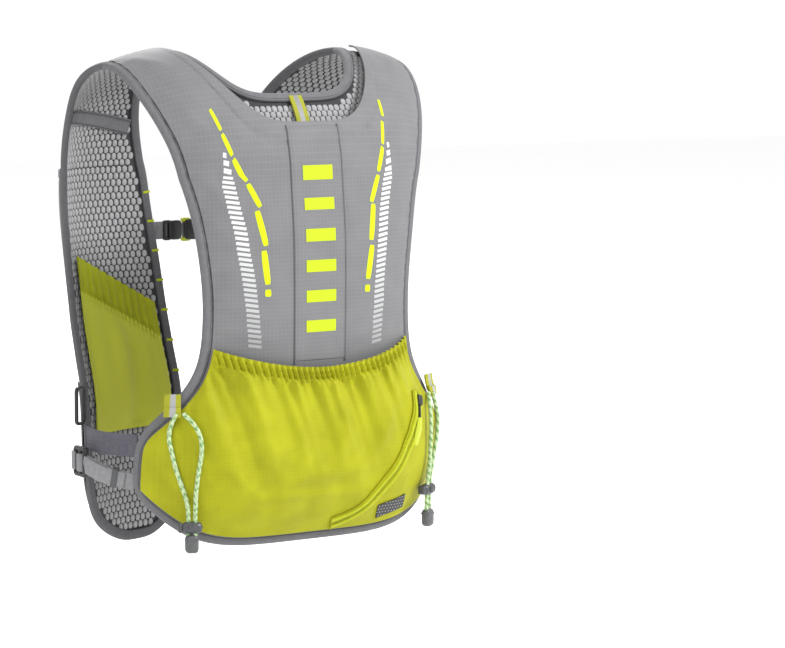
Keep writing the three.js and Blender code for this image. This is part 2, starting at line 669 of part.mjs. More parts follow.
// A buckled strap across the chest at a height: two webbings and the buckle's two halves.
function makeChestStrap(drop, name) {
  const seat = place(-1, frontInner(-drop) - BINDING_WIDTH, STRAP_WIDTH / 2 - drop, daisyOuter);
  const y = seat.y - CLEAR - WEBBING / 2;
  const outerEnd = frontInner(-drop) - CLEAR;
  const split = BUCKLE_FEMALE - (BUCKLE_FEMALE + BUCKLE_MALE + SEAM_GAP) / 2;
  const ends = { right: split - BUCKLE_FEMALE, left: split + SEAM_GAP + BUCKLE_MALE };
  for (const [hand, side] of [[-1, 'right'], [1, 'left']]) {
    const near = Math.abs(ends[side]) + SEAM_GAP;
    const length = outerEnd - near;
    const webbing = new THREE.BoxGeometry(length, WEBBING, STRAP_WIDTH);
    add(`${name}_strap_${side}`, webbing, 'webbing', [hand * (near + length / 2), y, -drop]);
  }
  const stand = [Math.PI / 2, 0, 0];
  const female = slottedPlate(BUCKLE_FEMALE, BUCKLE_HEIGHT, BUCKLE_THICK, BUCKLE_CORNER);
  const socketLength = TONGUE_LENGTH + 2 * CLEAR;
  const [socketHeight, socketThick] = [TONGUE_HEIGHT + 2 * CLEAR, TONGUE_THICK + 2 * CLEAR];
  const socket = new THREE.BoxGeometry(2 * socketLength, socketHeight, socketThick);
  const atMouth = new THREE.Matrix4().makeTranslation(BUCKLE_FEMALE / 2, 0, 0);
  const open = toManifold(female).subtract(toManifold(socket, atMouth));
  const femaleAt = [split - BUCKLE_FEMALE / 2, y, -drop];
  add(`${name}_buckle_female`, fromManifold(open), 'plastic', femaleAt, stand);
  const male = slottedPlate(BUCKLE_MALE, BUCKLE_HEIGHT - 1, BUCKLE_THICK - 1, BUCKLE_CORNER);
  const tongue = new THREE.BoxGeometry(2 * TONGUE_LENGTH, TONGUE_HEIGHT, TONGUE_THICK);
  const atFace = new THREE.Matrix4().makeTranslation(-BUCKLE_MALE / 2, 0, 0);
  const joined = toManifold(male).add(toManifold(tongue, atFace));
  const maleAt = [split + SEAM_GAP + BUCKLE_MALE / 2, y, -drop];
  add(`${name}_buckle_male`, fromManifold(joined), 'plastic', maleAt, stand);
}

// The outer side of an edge tape, where something is sewn to it.
function tapeSide(side, x, v, hand, past) {
  const point = place(side, x, v, SHELL / 2);
  const along = place(side, x, v + 1, SHELL / 2).sub(point);
  const aside = along.cross(outward(side, x, v)).normalize();
  const sign = Math.sign(aside.x) === hand ? 1 : -1;
  return point.addScaledVector(aside, sign * (BINDING_WIDTH + past));
}

// The straps and fittings that close one flank of the vest.
function makeFlank(hand, name) {
  const up = new THREE.Vector3(0, 0, 1);
  const out = new THREE.Vector3(hand, 0, 0);
  const elasticFront = tapeSide(-1, hand * frontOuter(-ELASTIC_DROP), -ELASTIC_DROP, hand, 2 * END_GAP);
  const elasticBack = tapeSide(1, hand * backEdge(-ELASTIC_DROP), -ELASTIC_DROP, hand, 2 * END_GAP);
  const bowed = elasticFront.clone().lerp(elasticBack, 0.5).addScaledVector(out, FLANK_BOW);
  const elastic = ribbon([elasticFront, bowed, elasticBack], up, ELASTIC_WIDTH, ELASTIC_THICK);
  add(`side_elastic_${name}`, elastic, 'webbing');

  const lockBase = tapeSide(-1, hand * frontOuter(-LOCK_DROP), -LOCK_DROP, hand, 0);
  const lock = lockBase.clone().add(new THREE.Vector3(hand * LOCK_OUT, LOCK_BACK, 0));
  const slots = [LOCK_SLOT_AT, -LOCK_SLOT_AT].map((y) => (
    { width: STRAP_WIDTH + 2, height: 2 * WEBBING, x: 0, y }
  ));
  const frame = slottedPlate(LOCK_HEIGHT, LOCK_LENGTH, LOCK_THICK, 3, slots);
  frame.rotateZ(Math.PI / 2).rotateX(Math.PI / 2).rotateZ(Math.PI / 2);
  add(`ladder_lock_${name}`, frame, 'plastic', lock.toArray());

  const tabStart = lockBase.clone().add(new THREE.Vector3(hand * 2 * END_GAP, 0, 0));
  const tabEnd = lock.clone().add(new THREE.Vector3(0, -LOCK_LENGTH / 2 - END_GAP, 0));
  const tabMiddle = tabStart.clone().lerp(tabEnd, 0.5).add(new THREE.Vector3(hand * 2, 0, 0));
  add(`lock_tab_${name}`, ribbon([tabStart, tabMiddle, tabEnd], up, STRAP_WIDTH, WEBBING), 'webbing');

  const strapBack = tapeSide(1, hand * backEdge(-STRAP_DROP), -STRAP_DROP, hand, 2 * END_GAP);
  const strapFront = lock.clone().add(new THREE.Vector3(0, LOCK_LENGTH / 2 + 3.5 * END_GAP, -1));
  const strapMiddle = strapBack.clone().lerp(strapFront, 0.5).addScaledVector(out, FLANK_BOW / 2);
  const strapWide = new THREE.Vector3(0, 0.4, 1).normalize();
  const strap = ribbon([strapFront, strapMiddle, strapBack], strapWide, STRAP_WIDTH, WEBBING);
  add(`side_strap_${name}`, strap, 'webbing');

  const loopX = hand * frontOuter(-SLOT_LOOP_DROP);
  const loopBase = tapeSide(-1, loopX, -SLOT_LOOP_DROP, hand, 3 * END_GAP);
  const ring = slottedPlate(SLOT_LOOP_WIDTH, SLOT_LOOP_HEIGHT, SLOT_LOOP_THICK, 4, [
    { width: SLOT_LOOP_WIDTH - 5, height: SLOT_LOOP_HEIGHT - 6, x: 0, y: 0 },
  ]);
  ring.rotateX(Math.PI / 2);
  const along = new THREE.Vector3(hand * Math.cos(SLOT_LOOP_TURN), Math.sin(SLOT_LOOP_TURN), 0);
  const ringAt = loopBase.clone().addScaledVector(along, SLOT_LOOP_WIDTH / 2);
  add(`slot_loop_${name}`, ring, 'plastic', ringAt.toArray(), [0, 0, hand * SLOT_LOOP_TURN]);
}

// A small round-cornered block lying over a layer at a place, its height running down the cloth.
function blockOnCloth(name, side, x, v, over, size, finish, tilt = 0, slots = []) {
  const [width, height, thick, corner] = size;
  const at = (dx, dv) => place(side, x + dx, v + dv, over(x + dx, v + dv));
  const up = at(0, 1).sub(at(0, -1)).normalize();
  const out = at(1, 0).sub(at(-1, 0)).cross(up).multiplyScalar(-side).normalize();
  const right = up.clone().cross(out);
  const turn = new THREE.Matrix4().makeBasis(right, up, out);
  turn.multiply(new THREE.Matrix4().makeRotationZ(tilt));
  const geometry = slottedPlate(width, height, thick, corner, slots);
  const mesh = add(name, geometry, finish, at(0, 0).addScaledVector(out, thick / 2).toArray());
  mesh.quaternion.setFromRotationMatrix(turn);
}

// The elastic loop that hangs on the back pocket: down its outer strand from the tab, through the
// lock, round inside the end toggle and back up its inner strand. The right one is its mirror.
const CORD_ROUTE = [
  [122.6, 87.9, -281.2],
  [126.8, 86.3, -291],
  [128.8, 87, -301],
  [127.6, 88.9, -311],
  [125.4, 90.1, -322],
  [121.9, 91.6, -334],
  [118.6, 93.4, -345],
  [116.4, 94.4, -354],
  [115.7, 94.7, -362],
  [115.6, 94.5, -370],
  [115.6, 94.6, -379],
  [115.6, 94.7, -384],
  [114.9, 95.2, -386],
  [113.4, 96, -386.7],
  [111.9, 97, -386],
  [111.1, 97.3, -384],
  [111.1, 97.3, -379],
  [111.1, 97.4, -370],
  [111.1, 97.5, -362],
  [111.3, 98.4, -354],
  [111.6, 99.6, -345],
  [111.5, 101.4, -336],
  [110.9, 102.6, -327],
  [110, 104.4, -317],
  [109.5, 105.4, -307],
  [110.4, 103.6, -297],
  [113.3, 97.6, -288],
  [117.4, 90, -281.4],
];

// A curve that takes its steps at its own points.
class RouteCurve extends THREE.CatmullRomCurve3 {
  getUtoTmapping(u) {
    return u;
  }
}

// A round tube along the cord's route, on one side of the vest.
function cordTube(hand, radius) {
  const curve = new RouteCurve(CORD_ROUTE.map(([x, y, z]) => new THREE.Vector3(hand * x, y, z)));
  const round = new THREE.Shape(shares(CORD_SIDES).slice(0, CORD_SIDES)
    .map((u) => new THREE.Vector2(radius * Math.cos(2 * Math.PI * u), radius * Math.sin(2 * Math.PI * u))));
  return new THREE.ExtrudeGeometry(round, { steps: CORD_ROUTE.length - 1, extrudePath: curve });
}

// An elastic loop with its tab, its lock at a height and its end toggle.
function makeBungee(hand, name, lockZ) {
  add(`bungee_${name}`, cordTube(hand, CORD / 2), 'cord');
  const channel = toManifold(cordTube(hand, CORD / 2 + CLEAR));
  const low = CORD_ROUTE.reduce((a, b) => (b[2] < a[2] ? b : a));
  const lockSize = [LOCK_BODY_WIDTH, LOCK_BODY_HEIGHT, LOCK_BODY_THICK, 3];
  const endSize = [CORD_END_WIDTH, CORD_END_HEIGHT, CORD_END_THICK, 2.5];
  const fittings = [
    ['cord_lock', lockSize, [low[0], low[1], lockZ]],
    ['cord_end', endSize, [low[0], low[1], low[2] + CORD_END_RISE]],
  ];
  for (const [fitting, size, at] of fittings) {
    const turn = new THREE.Matrix4().makeRotationZ(-hand * FITTING_TURN);
    turn.multiply(new THREE.Matrix4().makeRotationX(Math.PI / 2)).setPosition(hand * at[0], at[1], at[2]);
    const block = toManifold(slottedPlate(...size), turn).subtract(channel);
    add(`${fitting}_${name}`, fromManifold(block), 'plastic');
  }
  const tabX = hand * (CORD_ROUTE[0][0] - TAB_IN);
  const tabBottom = CORD_ROUTE[0][2] + SEAM_GAP + CORD / 2;
  const route = shares(2).map((u) => [tabX, tabBottom + TAB_LENGTH * (1 - u)]);
  const overPocket = (x, v) => pocketOuter(x, v) + LAYER_CLEAR;
  add(`bungee_tab_${name}`, laidTape(1, route, TAB_WIDTH, overPocket, TAB_THICK), 'lime');
}

// The back pocket's curved zip: out is a share of HALF_WIDTH and down a share of HEM_DROP
const BACK_ZIP = [
  { out: -0.61, down: 0.7127 },
  { out: -0.58, down: 0.7656 },
  { out: -0.525, down: 0.8175 },
  { out: -0.435, down: 0.8766 },
  { out: -0.34, down: 0.9265 },
  { out: -0.25, down: 0.959 },
  { out: -0.18, down: 0.9743 },
];

// The zip, its slider and pull, the dotted corner patch and the cord tabs on the back pocket.
function makeBackTrims() {
  const route = BACK_ZIP.map((row) => [row.out * HALF_WIDTH, -row.down * HEM_DROP]);
  const overPocket = (x, v) => pocketOuter(x, v) + 1.5 * LAYER_CLEAR;
  add('back_zip_tape', laidTape(1, route, ZIP_TAPE, overPocket, ZIP_THICK), 'lime');
  const [zipX, zipV] = route[0];
  const sliderSize = [SLIDER_WIDTH, SLIDER_HEIGHT, SLIDER_THICK, 2];
  const overTape = (x, v) => overPocket(x, v) + ZIP_THICK + LAYER_CLEAR;
  blockOnCloth('back_zip_slider', 1, zipX, zipV - SLIDER_HEIGHT / 2, overTape, sliderSize, 'plastic', -0.3);
  const pullV = zipV - SLIDER_HEIGHT - END_GAP - PULL_LENGTH / 2;
  const pullSize = [PULL_WIDTH, PULL_LENGTH, PULL_THICK, 2];
  blockOnCloth('back_zip_pull', 1, zipX, pullV, overTape, pullSize, 'lime', -0.25);

  const patchRoute = shares(4).map((u) => (
    [-HALF_WIDTH * (0.57 - 0.17 * u), -HEM_DROP * (0.949 + 0.018 * u)]
  ));
  add('corner_patch', laidTape(1, patchRoute, PATCH_HEIGHT, overPocket, PATCH_THICK), 'plastic');
}

// The zip on the right lower pocket, the stretch pocket on the left one, and small front fittings.
function makeFrontTrims() {
  const outer = frontGrid(1, 8, shares(7), outerPocketTop, () => frontBottom + HEM_INSET, 0.04);
  const outerSide = (x, v) => outerInner(x, v) + CLOTH;
  add('outer_pocket_left', clothWall(-1, outer, outerInner, outerSide), 'ripstop');

  const overLower = (x, v) => lowerOuter(x, v) + 1.7 * LAYER_CLEAR;
  const zipV = -FRONT_ZIP_DROP;
  const route = shares(7).map((u) => [frontX(-1, 0.92 - 0.74 * u, zipV), zipV]);
  add('front_zip_tape', laidTape(-1, route, ZIP_TAPE - 3, overLower, ZIP_THICK), 'lime');
  const sliderX = frontX(-1, 0.16, zipV);
  const overTape = (x, v) => overLower(x, v) + ZIP_THICK + LAYER_CLEAR;
  const sliderSize = [SLIDER_HEIGHT, SLIDER_WIDTH, SLIDER_THICK, 2];
  blockOnCloth('front_zip_slider', -1, sliderX, zipV, overTape, sliderSize, 'plastic');
  const pullV = zipV - SLIDER_WIDTH / 2 - END_GAP - PULL_LENGTH / 2;
  const pullSize = [PULL_WIDTH, PULL_LENGTH, PULL_THICK, 2];
  blockOnCloth('front_zip_pull', -1, sliderX, pullV, overTape, pullSize, 'plastic');

  const whistleV = -WHISTLE_DROP;
  const whistleX = frontX(1, 0.2, whistleV);
  const overGather = (x, v) => lowerOuter(x, v) + GATHER + CLEAR;
  const whistleSize = [WHISTLE.width, WHISTLE.height, WHISTLE.thick, WHISTLE.corner];
  const whistleHole = { width: WHISTLE.hole, height: WHISTLE.thick, x: 0, y: WHISTLE.height / 4 };
  blockOnCloth('whistle', -1, whistleX, whistleV, overGather, whistleSize, 'orange', 0, [whistleHole]);
  for (const [hand, name] of [[1, 'left'], [-1, 'right']]) {
    const lockV = -CHEST_LOCK_DROP;
    const lockX = hand * (frontInner(lockV) - BINDING_WIDTH / 2);
    const lockSize = [CHEST_LOCK.width, CHEST_LOCK.height, CHEST_LOCK.thick, CHEST_LOCK.corner];
    const overDaisy = () => daisyOuter + CLEAR;
    blockOnCloth(`chest_cord_lock_${name}`, -1, lockX, lockV, overDaisy, lockSize, 'plastic', 0.1 * hand);
    const under = (x, v) => (hand > 0 ? outerSide(x, v) : lowerOuter(x, v)) + LAYER_CLEAR;
    const loopX = hand * HALF_WIDTH * 0.64;
    const loopRoute = [0.9256, 0.9405, 0.9553].map((down) => [loopX, -FRONT_DROP * down]);
    add(`bottom_loop_${name}`, laidTape(-1, loopRoute, BOTTOM_LOOP_WIDTH, under, CLOTH), 'lime');
  }
}

makeBack();
makeBackTrims();
makeFrontTrims();
makeBungee(1, 'left', LEFT_LOCK_Z);
makeBungee(-1, 'right', RIGHT_LOCK_Z);
makeFront(1, 'left');
makeFront(-1, 'right');
makeDaisyStrip(1, 'left');
makeDaisyStrip(-1, 'right');
makeChestStrap(UPPER_STRAP_DROP, 'upper');
makeChestStrap(LOWER_STRAP_DROP, 'lower');
makeFlank(1, 'left');
makeFlank(-1, 'right');

export default vest;
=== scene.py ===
"""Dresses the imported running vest: mesh, cloth, tapes, webbing, buckles, cords, light and camera."""

from __future__ import annotations

import logging
import math
from dataclasses import dataclass, field
from enum import Enum
from typing import Callable, Iterable, Sequence

import bmesh
import bpy
import numpy as np
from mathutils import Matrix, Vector

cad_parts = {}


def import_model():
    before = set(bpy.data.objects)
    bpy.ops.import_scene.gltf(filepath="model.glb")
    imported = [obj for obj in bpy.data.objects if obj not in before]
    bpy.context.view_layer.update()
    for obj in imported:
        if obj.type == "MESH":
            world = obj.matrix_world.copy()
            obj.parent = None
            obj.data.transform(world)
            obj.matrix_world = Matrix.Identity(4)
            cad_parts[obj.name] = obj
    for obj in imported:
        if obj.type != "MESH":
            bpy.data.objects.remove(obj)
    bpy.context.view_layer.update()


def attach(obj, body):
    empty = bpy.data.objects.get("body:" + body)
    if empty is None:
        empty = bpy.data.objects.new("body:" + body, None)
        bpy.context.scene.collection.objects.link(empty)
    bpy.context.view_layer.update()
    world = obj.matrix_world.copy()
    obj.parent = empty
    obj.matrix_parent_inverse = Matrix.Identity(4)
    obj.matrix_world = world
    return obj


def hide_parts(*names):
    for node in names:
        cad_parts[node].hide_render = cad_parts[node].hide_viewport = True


Array = np.ndarray
Colour = tuple[float, float, float]
Spread = Callable[[Array, Array], Array]

LOG = logging.getLogger("vest")
MM = 0.001
ROOT = "root"


class Side(Enum):
    """The half of the vest that a place is on."""

    BACK = 1
    FRONT = -1


class Hand(Enum):
    """The wearer's left or right."""

    LEFT = 1
    RIGHT = -1

    @property
    def word(self) -> str:
        """The word that piece names end with."""
        return self.name.lower()


# Curves and the worn form


@dataclass(frozen=True)
class Profile:
    """A smooth curve through a few stations."""

    at: tuple[float, ...]
    value: tuple[float, ...]

    def __call__(self, place: Array) -> Array:
        """Reads the curve.

        Args:
            place: Where to read it, held to the ends of the curve.

        Returns:
            The value at each place.
        """
        at, value = np.asarray(self.at), np.asarray(self.value)
        held = np.clip(np.asarray(place, float), at[0], at[-1])
        i = np.clip(np.searchsorted(at, held, side="left") - 1, 0, len(at) - 2)
        low = np.clip(np.arange(len(at)) - 1, 0, None)
        high = np.clip(np.arange(len(at)) + 1, None, len(at) - 1)
        slope = (value[high] - value[low]) / (at[high] - at[low])
        span = at[i + 1] - at[i]
        u = (held - at[i]) / span
        return (
            (2 * u**3 - 3 * u**2 + 1) * value[i]
            + (u**3 - 2 * u**2 + u) * span * slope[i]
            + (3 * u**2 - 2 * u**3) * value[i + 1]
            + (u**3 - u**2) * span * slope[i + 1]
        )


FRONT_STATIONS = (0, 0.127, 0.241, 0.317, 0.414, 0.541, 0.622, 0.723, 0.888, 1.04)
BACK_STATIONS = (0, 0.127, 0.241, 0.381, 0.635, 0.838, 1.04)


@dataclass(frozen=True)
class WornForm:
    """The wearer's side of the cloth, in millimetres: x runs across, v down from the shoulder ridge."""

    length: float = 394.0
    half_width: float = 150.0
    back_depth: float = 90.0
    front_depth: float = 110.0
    rounding: float = 95.0
    shoulder_drop: float = 13.0
    flat_shoulder: float = 70.0
    back_squareness: float = 3.6
    back_wide: Profile = Profile(BACK_STATIONS, (1.053, 1.04, 1.027, 1.007, 0.985, 0.95, 0.95))
    back_deep: Profile = Profile(BACK_STATIONS, (0.87, 0.9, 0.94, 1, 1, 0.97, 0.91))
    front_wide: Profile = Profile(
        FRONT_STATIONS, (1.05, 1.02, 1.012, 1.01, 1.01, 1.01, 1.01, 1.01, 1.01, 1.01)
    )
    front_deep: Profile = Profile(
        FRONT_STATIONS, (0.9, 0.95, 0.98, 0.985, 0.92, 0.8, 0.7, 0.57, 0.5, 0.47)
    )
    front_square: Profile = Profile(FRONT_STATIONS, (3, 3, 3, 3, 3, 2.9, 2.6, 2.1, 1.7, 1.6))

    def point(self, side: Side, x: Array, v: Array) -> Array:
        """Places points on the wearer's side of the cloth.

        Args:
            side: The back or the front.
            x: Distance across, positive to the wearer's left.
            v: Distance down the cloth from the ridge, negative.

        Returns:
            The points, with x, y and z in the last axis.
        """
        x, v = np.broadcast_arrays(np.asarray(x, float), np.asarray(v, float))
        back = side is Side.BACK
        share_down = -v / self.length
        wide = self.half_width * (self.back_wide if back else self.front_wide)(share_down)
        depth = self.back_depth if back else self.front_depth
        deep = depth * (self.back_deep if back else self.front_deep)(share_down)
        power = self.back_squareness if back else self.front_square(share_down)
        share = np.minimum(np.abs(x) / wide, 0.995)
        round_off = (1 - share**power) ** (1 / power)
        turn = np.maximum((v + self.rounding) / self.rounding, 0) * math.pi / 2
        past = np.maximum(np.abs(x) - self.flat_shoulder, 0) / (self.half_width / 2)
        ridge = -self.shoulder_drop * past**2.2
        over = -self.rounding + (ridge + self.rounding) * np.sin(turn)
        z = np.where(v < -self.rounding, v, over)
        return np.stack([x, side.value * deep * round_off * np.cos(turn), z], -1)

    def outward(self, side: Side, x: Array, v: Array) -> Array:
        """The outward direction of the cloth at each place."""
        low = np.minimum(v, -0.5)
        across = self.point(side, x + 0.5, v) - self.point(side, x - 0.5, v)
        along = self.point(side, x, low + 0.5) - self.point(side, x, low - 0.5)
        normal = -side.value * np.cross(across, along)
        return normal / np.linalg.norm(normal, axis=-1, keepdims=True)

    def place(self, side: Side, x: Array, v: Array, off: Array | float) -> Array:
        """Places points at a distance outward from the wearer's side of the cloth."""
        x, v = np.broadcast_arrays(np.asarray(x, float), np.asarray(v, float))
        lift = np.broadcast_to(np.asarray(off, float), x.shape)
        return self.point(side, x, v) + self.outward(side, x, v) * lift[..., None]


BODY = WornForm()

# Sizes that several sub-assemblies share
SHELL = 3.0
CLOTH = 1.2
LAYER_CLEAR = 0.8
NECK_HALF_WIDTH = 87.0
BINDING_WIDTH = 7.0
HEM_DROP = 387.0
HEM_RISE = 41.0
FRONT_DROP = 398.0
SEAM_GAP = 0.3
NECK_DROP = 56.0
NECK_SQUARENESS = 4.5
SLEEVE_TOP_DROP = 71.0
PAD_MARGIN = 3.6

BACK_EDGE = Profile(
    (0, 0.053, 0.107, 0.157, 0.213, 0.292, 0.381, 0.482, 0.571, 0.622, 0.66, 0.698, 0.731, 0.766, 0.8, 1),
    (
        0.893, 0.877, 0.85, 0.803, 0.737, 0.673, 0.63, 0.603, 0.607, 0.63, 0.672, 0.74, 0.813, 0.878, 0.897,
        0.897
    ),
)
FRONT_INNER_EDGE = Profile(
    (0, 0.051, 0.114, 0.178, 0.228, 0.279, 0.381, 0.508, 0.761, 0.873, 0.944, 0.985, 1.01),
    (0.583, 0.55, 0.483, 0.41, 0.35, 0.31, 0.283, 0.269, 0.269, 0.278, 0.31, 0.39, 0.5),
)
FRONT_OUTER_EDGE = Profile(
    (0, 0.03, 0.089, 0.152, 0.254, 0.381, 0.508, 0.609, 0.723, 0.812, 0.876, 0.929, 0.964, 0.995, 1.01),
    (0.893, 0.92, 0.953, 0.965, 0.943, 0.92, 0.917, 0.933, 0.95, 0.963, 0.965, 0.94, 0.885, 0.775, 0.68),
)
SLEEVE_PROFILE = Profile((0, 0.1, 0.2, 0.32, 0.5, 0.72, 0.9, 1), (0.24, 0.55, 0.97, 1, 1, 0.9, 0.4, 0))
POCKET_PROFILE = Profile((0, 0.15, 0.4, 0.62, 0.82, 0.95, 1), (0.54, 0.68, 0.92, 1, 0.7, 0.2, 0))
FLASK_PROFILE = Profile((0, 0.3, 0.6, 0.85, 1), (0.6, 0.95, 1, 0.55, 0.06))


def back_edge(v: Array) -> Array:
    """Half the back panel's width at a drop."""
    return BODY.half_width * BACK_EDGE(-v / BODY.length)


def across_back(x: Array, v: Array) -> Array:
    """How far across the back a place lies, from 0 at the middle to 1 at the edge."""
    return np.minimum(np.abs(x) / back_edge(v), 1)


def front_inner(v: Array) -> Array:
    """Distance from the middle to a front panel's inner edge."""
    return BODY.half_width * FRONT_INNER_EDGE(-v / BODY.length)


def front_outer(v: Array) -> Array:
    """Distance from the middle to a front panel's outer edge."""
    return BODY.half_width * FRONT_OUTER_EDGE(-v / BODY.length)


def front_x(hand: Hand, share: Array | float, v: Array) -> Array:
    """The place across at a share of a front panel's width, from its inner edge."""
    inner = front_inner(v)
    return hand.value * (inner + (front_outer(v) - inner) * share)


def across_front(x: Array, v: Array) -> Array:
    """How far across a front panel a place lies, from 0 at its inner edge to 1 at its outer."""
    inner = front_inner(v)
    return (np.abs(x) - inner) / (front_outer(v) - inner)


def bow(share: Array) -> Array:
    """The fullness of a front pocket across its width."""
    return np.sin(np.pi * np.clip(share, 0, 1)) ** 0.8


def even(count: int) -> Array:
    """Even shares from 0 to 1."""
    return np.linspace(0.0, 1.0, count + 1)


def ease(value: Array | float, low: float, high: float) -> Array:
    """A smooth step from 0 at low to 1 at high."""
    t = np.clip((np.asarray(value, float) - low) / (high - low), 0, 1)
    return t * t * (3 - 2 * t)


def unit(vectors: Array) -> Array:
    """Vectors of length one."""
    return vectors / np.maximum(np.linalg.norm(vectors, axis=-1, keepdims=True), 1e-12)


# Relief of the cloth


@dataclass(frozen=True)
class Fold:
    """One soft crease of cloth, from a start to an end place."""

    start: tuple[float, float]
    end: tuple[float, float]
    height: float
    width: float

    def __call__(self, x: Array, v: Array) -> Array:
        """The crease's height at each place."""
        run = np.subtract(self.end, self.start)
        length = float(np.hypot(*run))
        dx, dv = x - self.start[0], v - self.start[1]
        along = np.clip((dx * run[0] + dv * run[1]) / length**2, 0, 1)
        off = np.hypot(dx - along * run[0], dv - along * run[1])
        return self.height * np.sin(np.pi * along) ** 0.8 * np.exp(-((off / self.width) ** 2))


@dataclass(frozen=True)
class Gather:
    """Ruffles under an elastic edge, and the puckers and soft folds that run down from it."""

    pitch: float = 5.2
    band: float = 9.0
    height: float = 0.8
    pucker: float = 1.0
    reach: float = 22.0
    swell: float = 1.2
    swell_reach: float = 70.0

    def __call__(self, along: Array, down: Array) -> Array:
        """The ruffles' height.

        Args:
            along: Distance along the gathered edge.
            down: Distance below it.

        Returns:
            The height at each place.
        """
        past = np.maximum(down - self.band, 0)
        wander = 1.3 * np.sin(along / 19) + 0.8 * np.sin(along / 7.3 + 1)
        ruffle = self.height * np.sin(2 * np.pi * along / self.pitch + wander)
        ruffle = ruffle * (1 - 0.75 * ease(down, 0, 1.5) * (1 - ease(down, 1.5, 3)))
        seam = -0.7 * np.exp(-(((down - self.band) / 1.3) ** 2))
        puckers = (
            np.sin(2 * np.pi * along / (2.3 * self.pitch) + wander)
            + 0.8 * np.sin(2 * np.pi * along / (3.7 * self.pitch) + 2 + wander)
        ) * np.exp(-past / self.reach)
        swells = (
            np.sin(2 * np.pi * along / (7.1 * self.pitch) + 1.1)
            + 0.6 * np.sin(2 * np.pi * along / (11.3 * self.pitch) + 0.4)
        ) * np.exp(-past / self.swell_reach)
        under = ease(past, 0, 5)
        return ruffle * np.exp(-past / 5) + seam + under * (self.pucker * puckers + self.swell * swells)


def soft_waves(x: Array, v: Array, height: float, seed: float) -> Array:
    """The slow unevenness of cloth that isn't pulled tight."""
    return height * (
        np.sin(x / 23 + seed) * np.sin(v / 41 + 2 * seed)
        + 0.6 * np.sin(x / 13 + v / 29 + 3 * seed)
        + 0.4 * np.sin(x / 37 - v / 17 + seed)
    )


# Shapes


@dataclass
class Shape:
    """Points in millimetres, faces between them, and each point's place on the flat cloth."""

    points: Array
    faces: list
    places: Array

    @staticmethod
    def joined(shapes: Iterable["Shape"]) -> "Shape":
        """Several shapes as one."""
        points, faces, places, start = [], [], [], 0
        for shape in shapes:
            points.append(shape.points)
            places.append(shape.places)
            faces.extend([[i + start for i in face] for face in shape.faces])
            start += len(shape.points)
        return Shape(np.concatenate(points), faces, np.concatenate(places))

    def moved(self, origin: Array, right: Array, up: Array, out: Array) -> "Shape":
        """The shape carried to an origin, with its x, y and z along three directions."""
        basis = np.stack([right, up, out])
        return Shape(self.points @ basis + np.asarray(origin), self.faces, self.places)


def grid_faces(rows: int, columns: int, start: int = 0, wrap: bool = False) -> list:
    """The quads of a grid of points, row by row, closed round its columns if wrap is set."""
    j, i = np.meshgrid(np.arange(rows - 1), np.arange(columns if wrap else columns - 1), indexing="ij")
    after = (i + 1) % columns
    quads = np.stack(
        [j * columns + i, (j + 1) * columns + i, (j + 1) * columns + after, j * columns + after], -1
    )
    return (quads.reshape(-1, 4) + start).tolist()


def sheet_of(outer: Array, inner: Array, places: Array) -> Shape:
    """A closed sheet between two matching grids of points.

    Args:
        outer: The outer face's points, rows by columns by three.
        inner: The inner face's points.
        places: Each point's place on the flat cloth, rows by columns by two.

    Returns:
        The closed shape.
    """
    rows, columns = outer.shape[:2]
    count = rows * columns
    flat = np.concatenate([places, np.zeros((rows, columns, 1))], -1).reshape(-1, 3)
    points = np.concatenate([outer.reshape(-1, 3), inner.reshape(-1, 3)])
    faces = grid_faces(rows, columns)
    faces += [face[::-1] for face in grid_faces(rows, columns, count)]
    rim = [(0, i) for i in range(columns - 1)] + [(j, columns - 1) for j in range(rows - 1)]
    rim += [(rows - 1, i) for i in range(columns - 1, 0, -1)] + [(j, 0) for j in range(rows - 1, 0, -1)]
    ids = [j * columns + i for j, i in rim]
    for a, b in zip(ids, ids[1:] + ids[:1]):
        faces.append([a, b, b + count, a + count])
    inner_flat = flat + np.array([0, 0, 1.0])
    return Shape(points, faces, np.concatenate([flat, inner_flat]))


def path_lengths(path: Array) -> Array:
    """The distance along a path at each of its points."""
    return np.concatenate([[0.0], np.cumsum(np.linalg.norm(np.diff(path, axis=0), axis=1))])


def sweep(path: Array, normals: Array, outline: Array, closed: bool = False) -> Shape:
    """Sweeps a closed outline along a path.

    Args:
        path: The path's points.
        normals: The outward direction at each, which the outline's second axis follows.
        outline: The outline's points: across the path, and outward.
        closed: Whether the path runs round into itself.

    Returns:
        The shape, capped at both ends unless it is closed.
    """
    if closed:
        tangent = unit(np.roll(path, -1, 0) - np.roll(path, 1, 0))
    else:
        tangent = unit(np.gradient(path, axis=0))
    normal = unit(normals - (normals * tangent).sum(-1, keepdims=True) * tangent)
    aside = np.cross(tangent, normal)
    rings = path[:, None] + aside[:, None] * outline[None, :, :1] + normal[:, None] * outline[None, :, 1:]
    count, around = rings.shape[:2]
    along = path_lengths(path)
    round_it = path_lengths(outline)
    places = np.stack(
        [
            np.repeat(along[:, None], around, 1), np.repeat(round_it[None], count, 0),
            np.zeros((count, around))
        ],
        -1,
    ).reshape(-1, 3)
    faces = grid_faces(count, around, wrap=True)
    if closed:
        last = (count - 1) * around
        for i in range(around):
            after = (i + 1) % around
            faces.append([last + i, i, after, last + after])
    else:
        faces += [list(range(around)), list(range((count - 1) * around, count * around))[::-1]]
    return Shape(rings.reshape(-1, 3), faces, places)


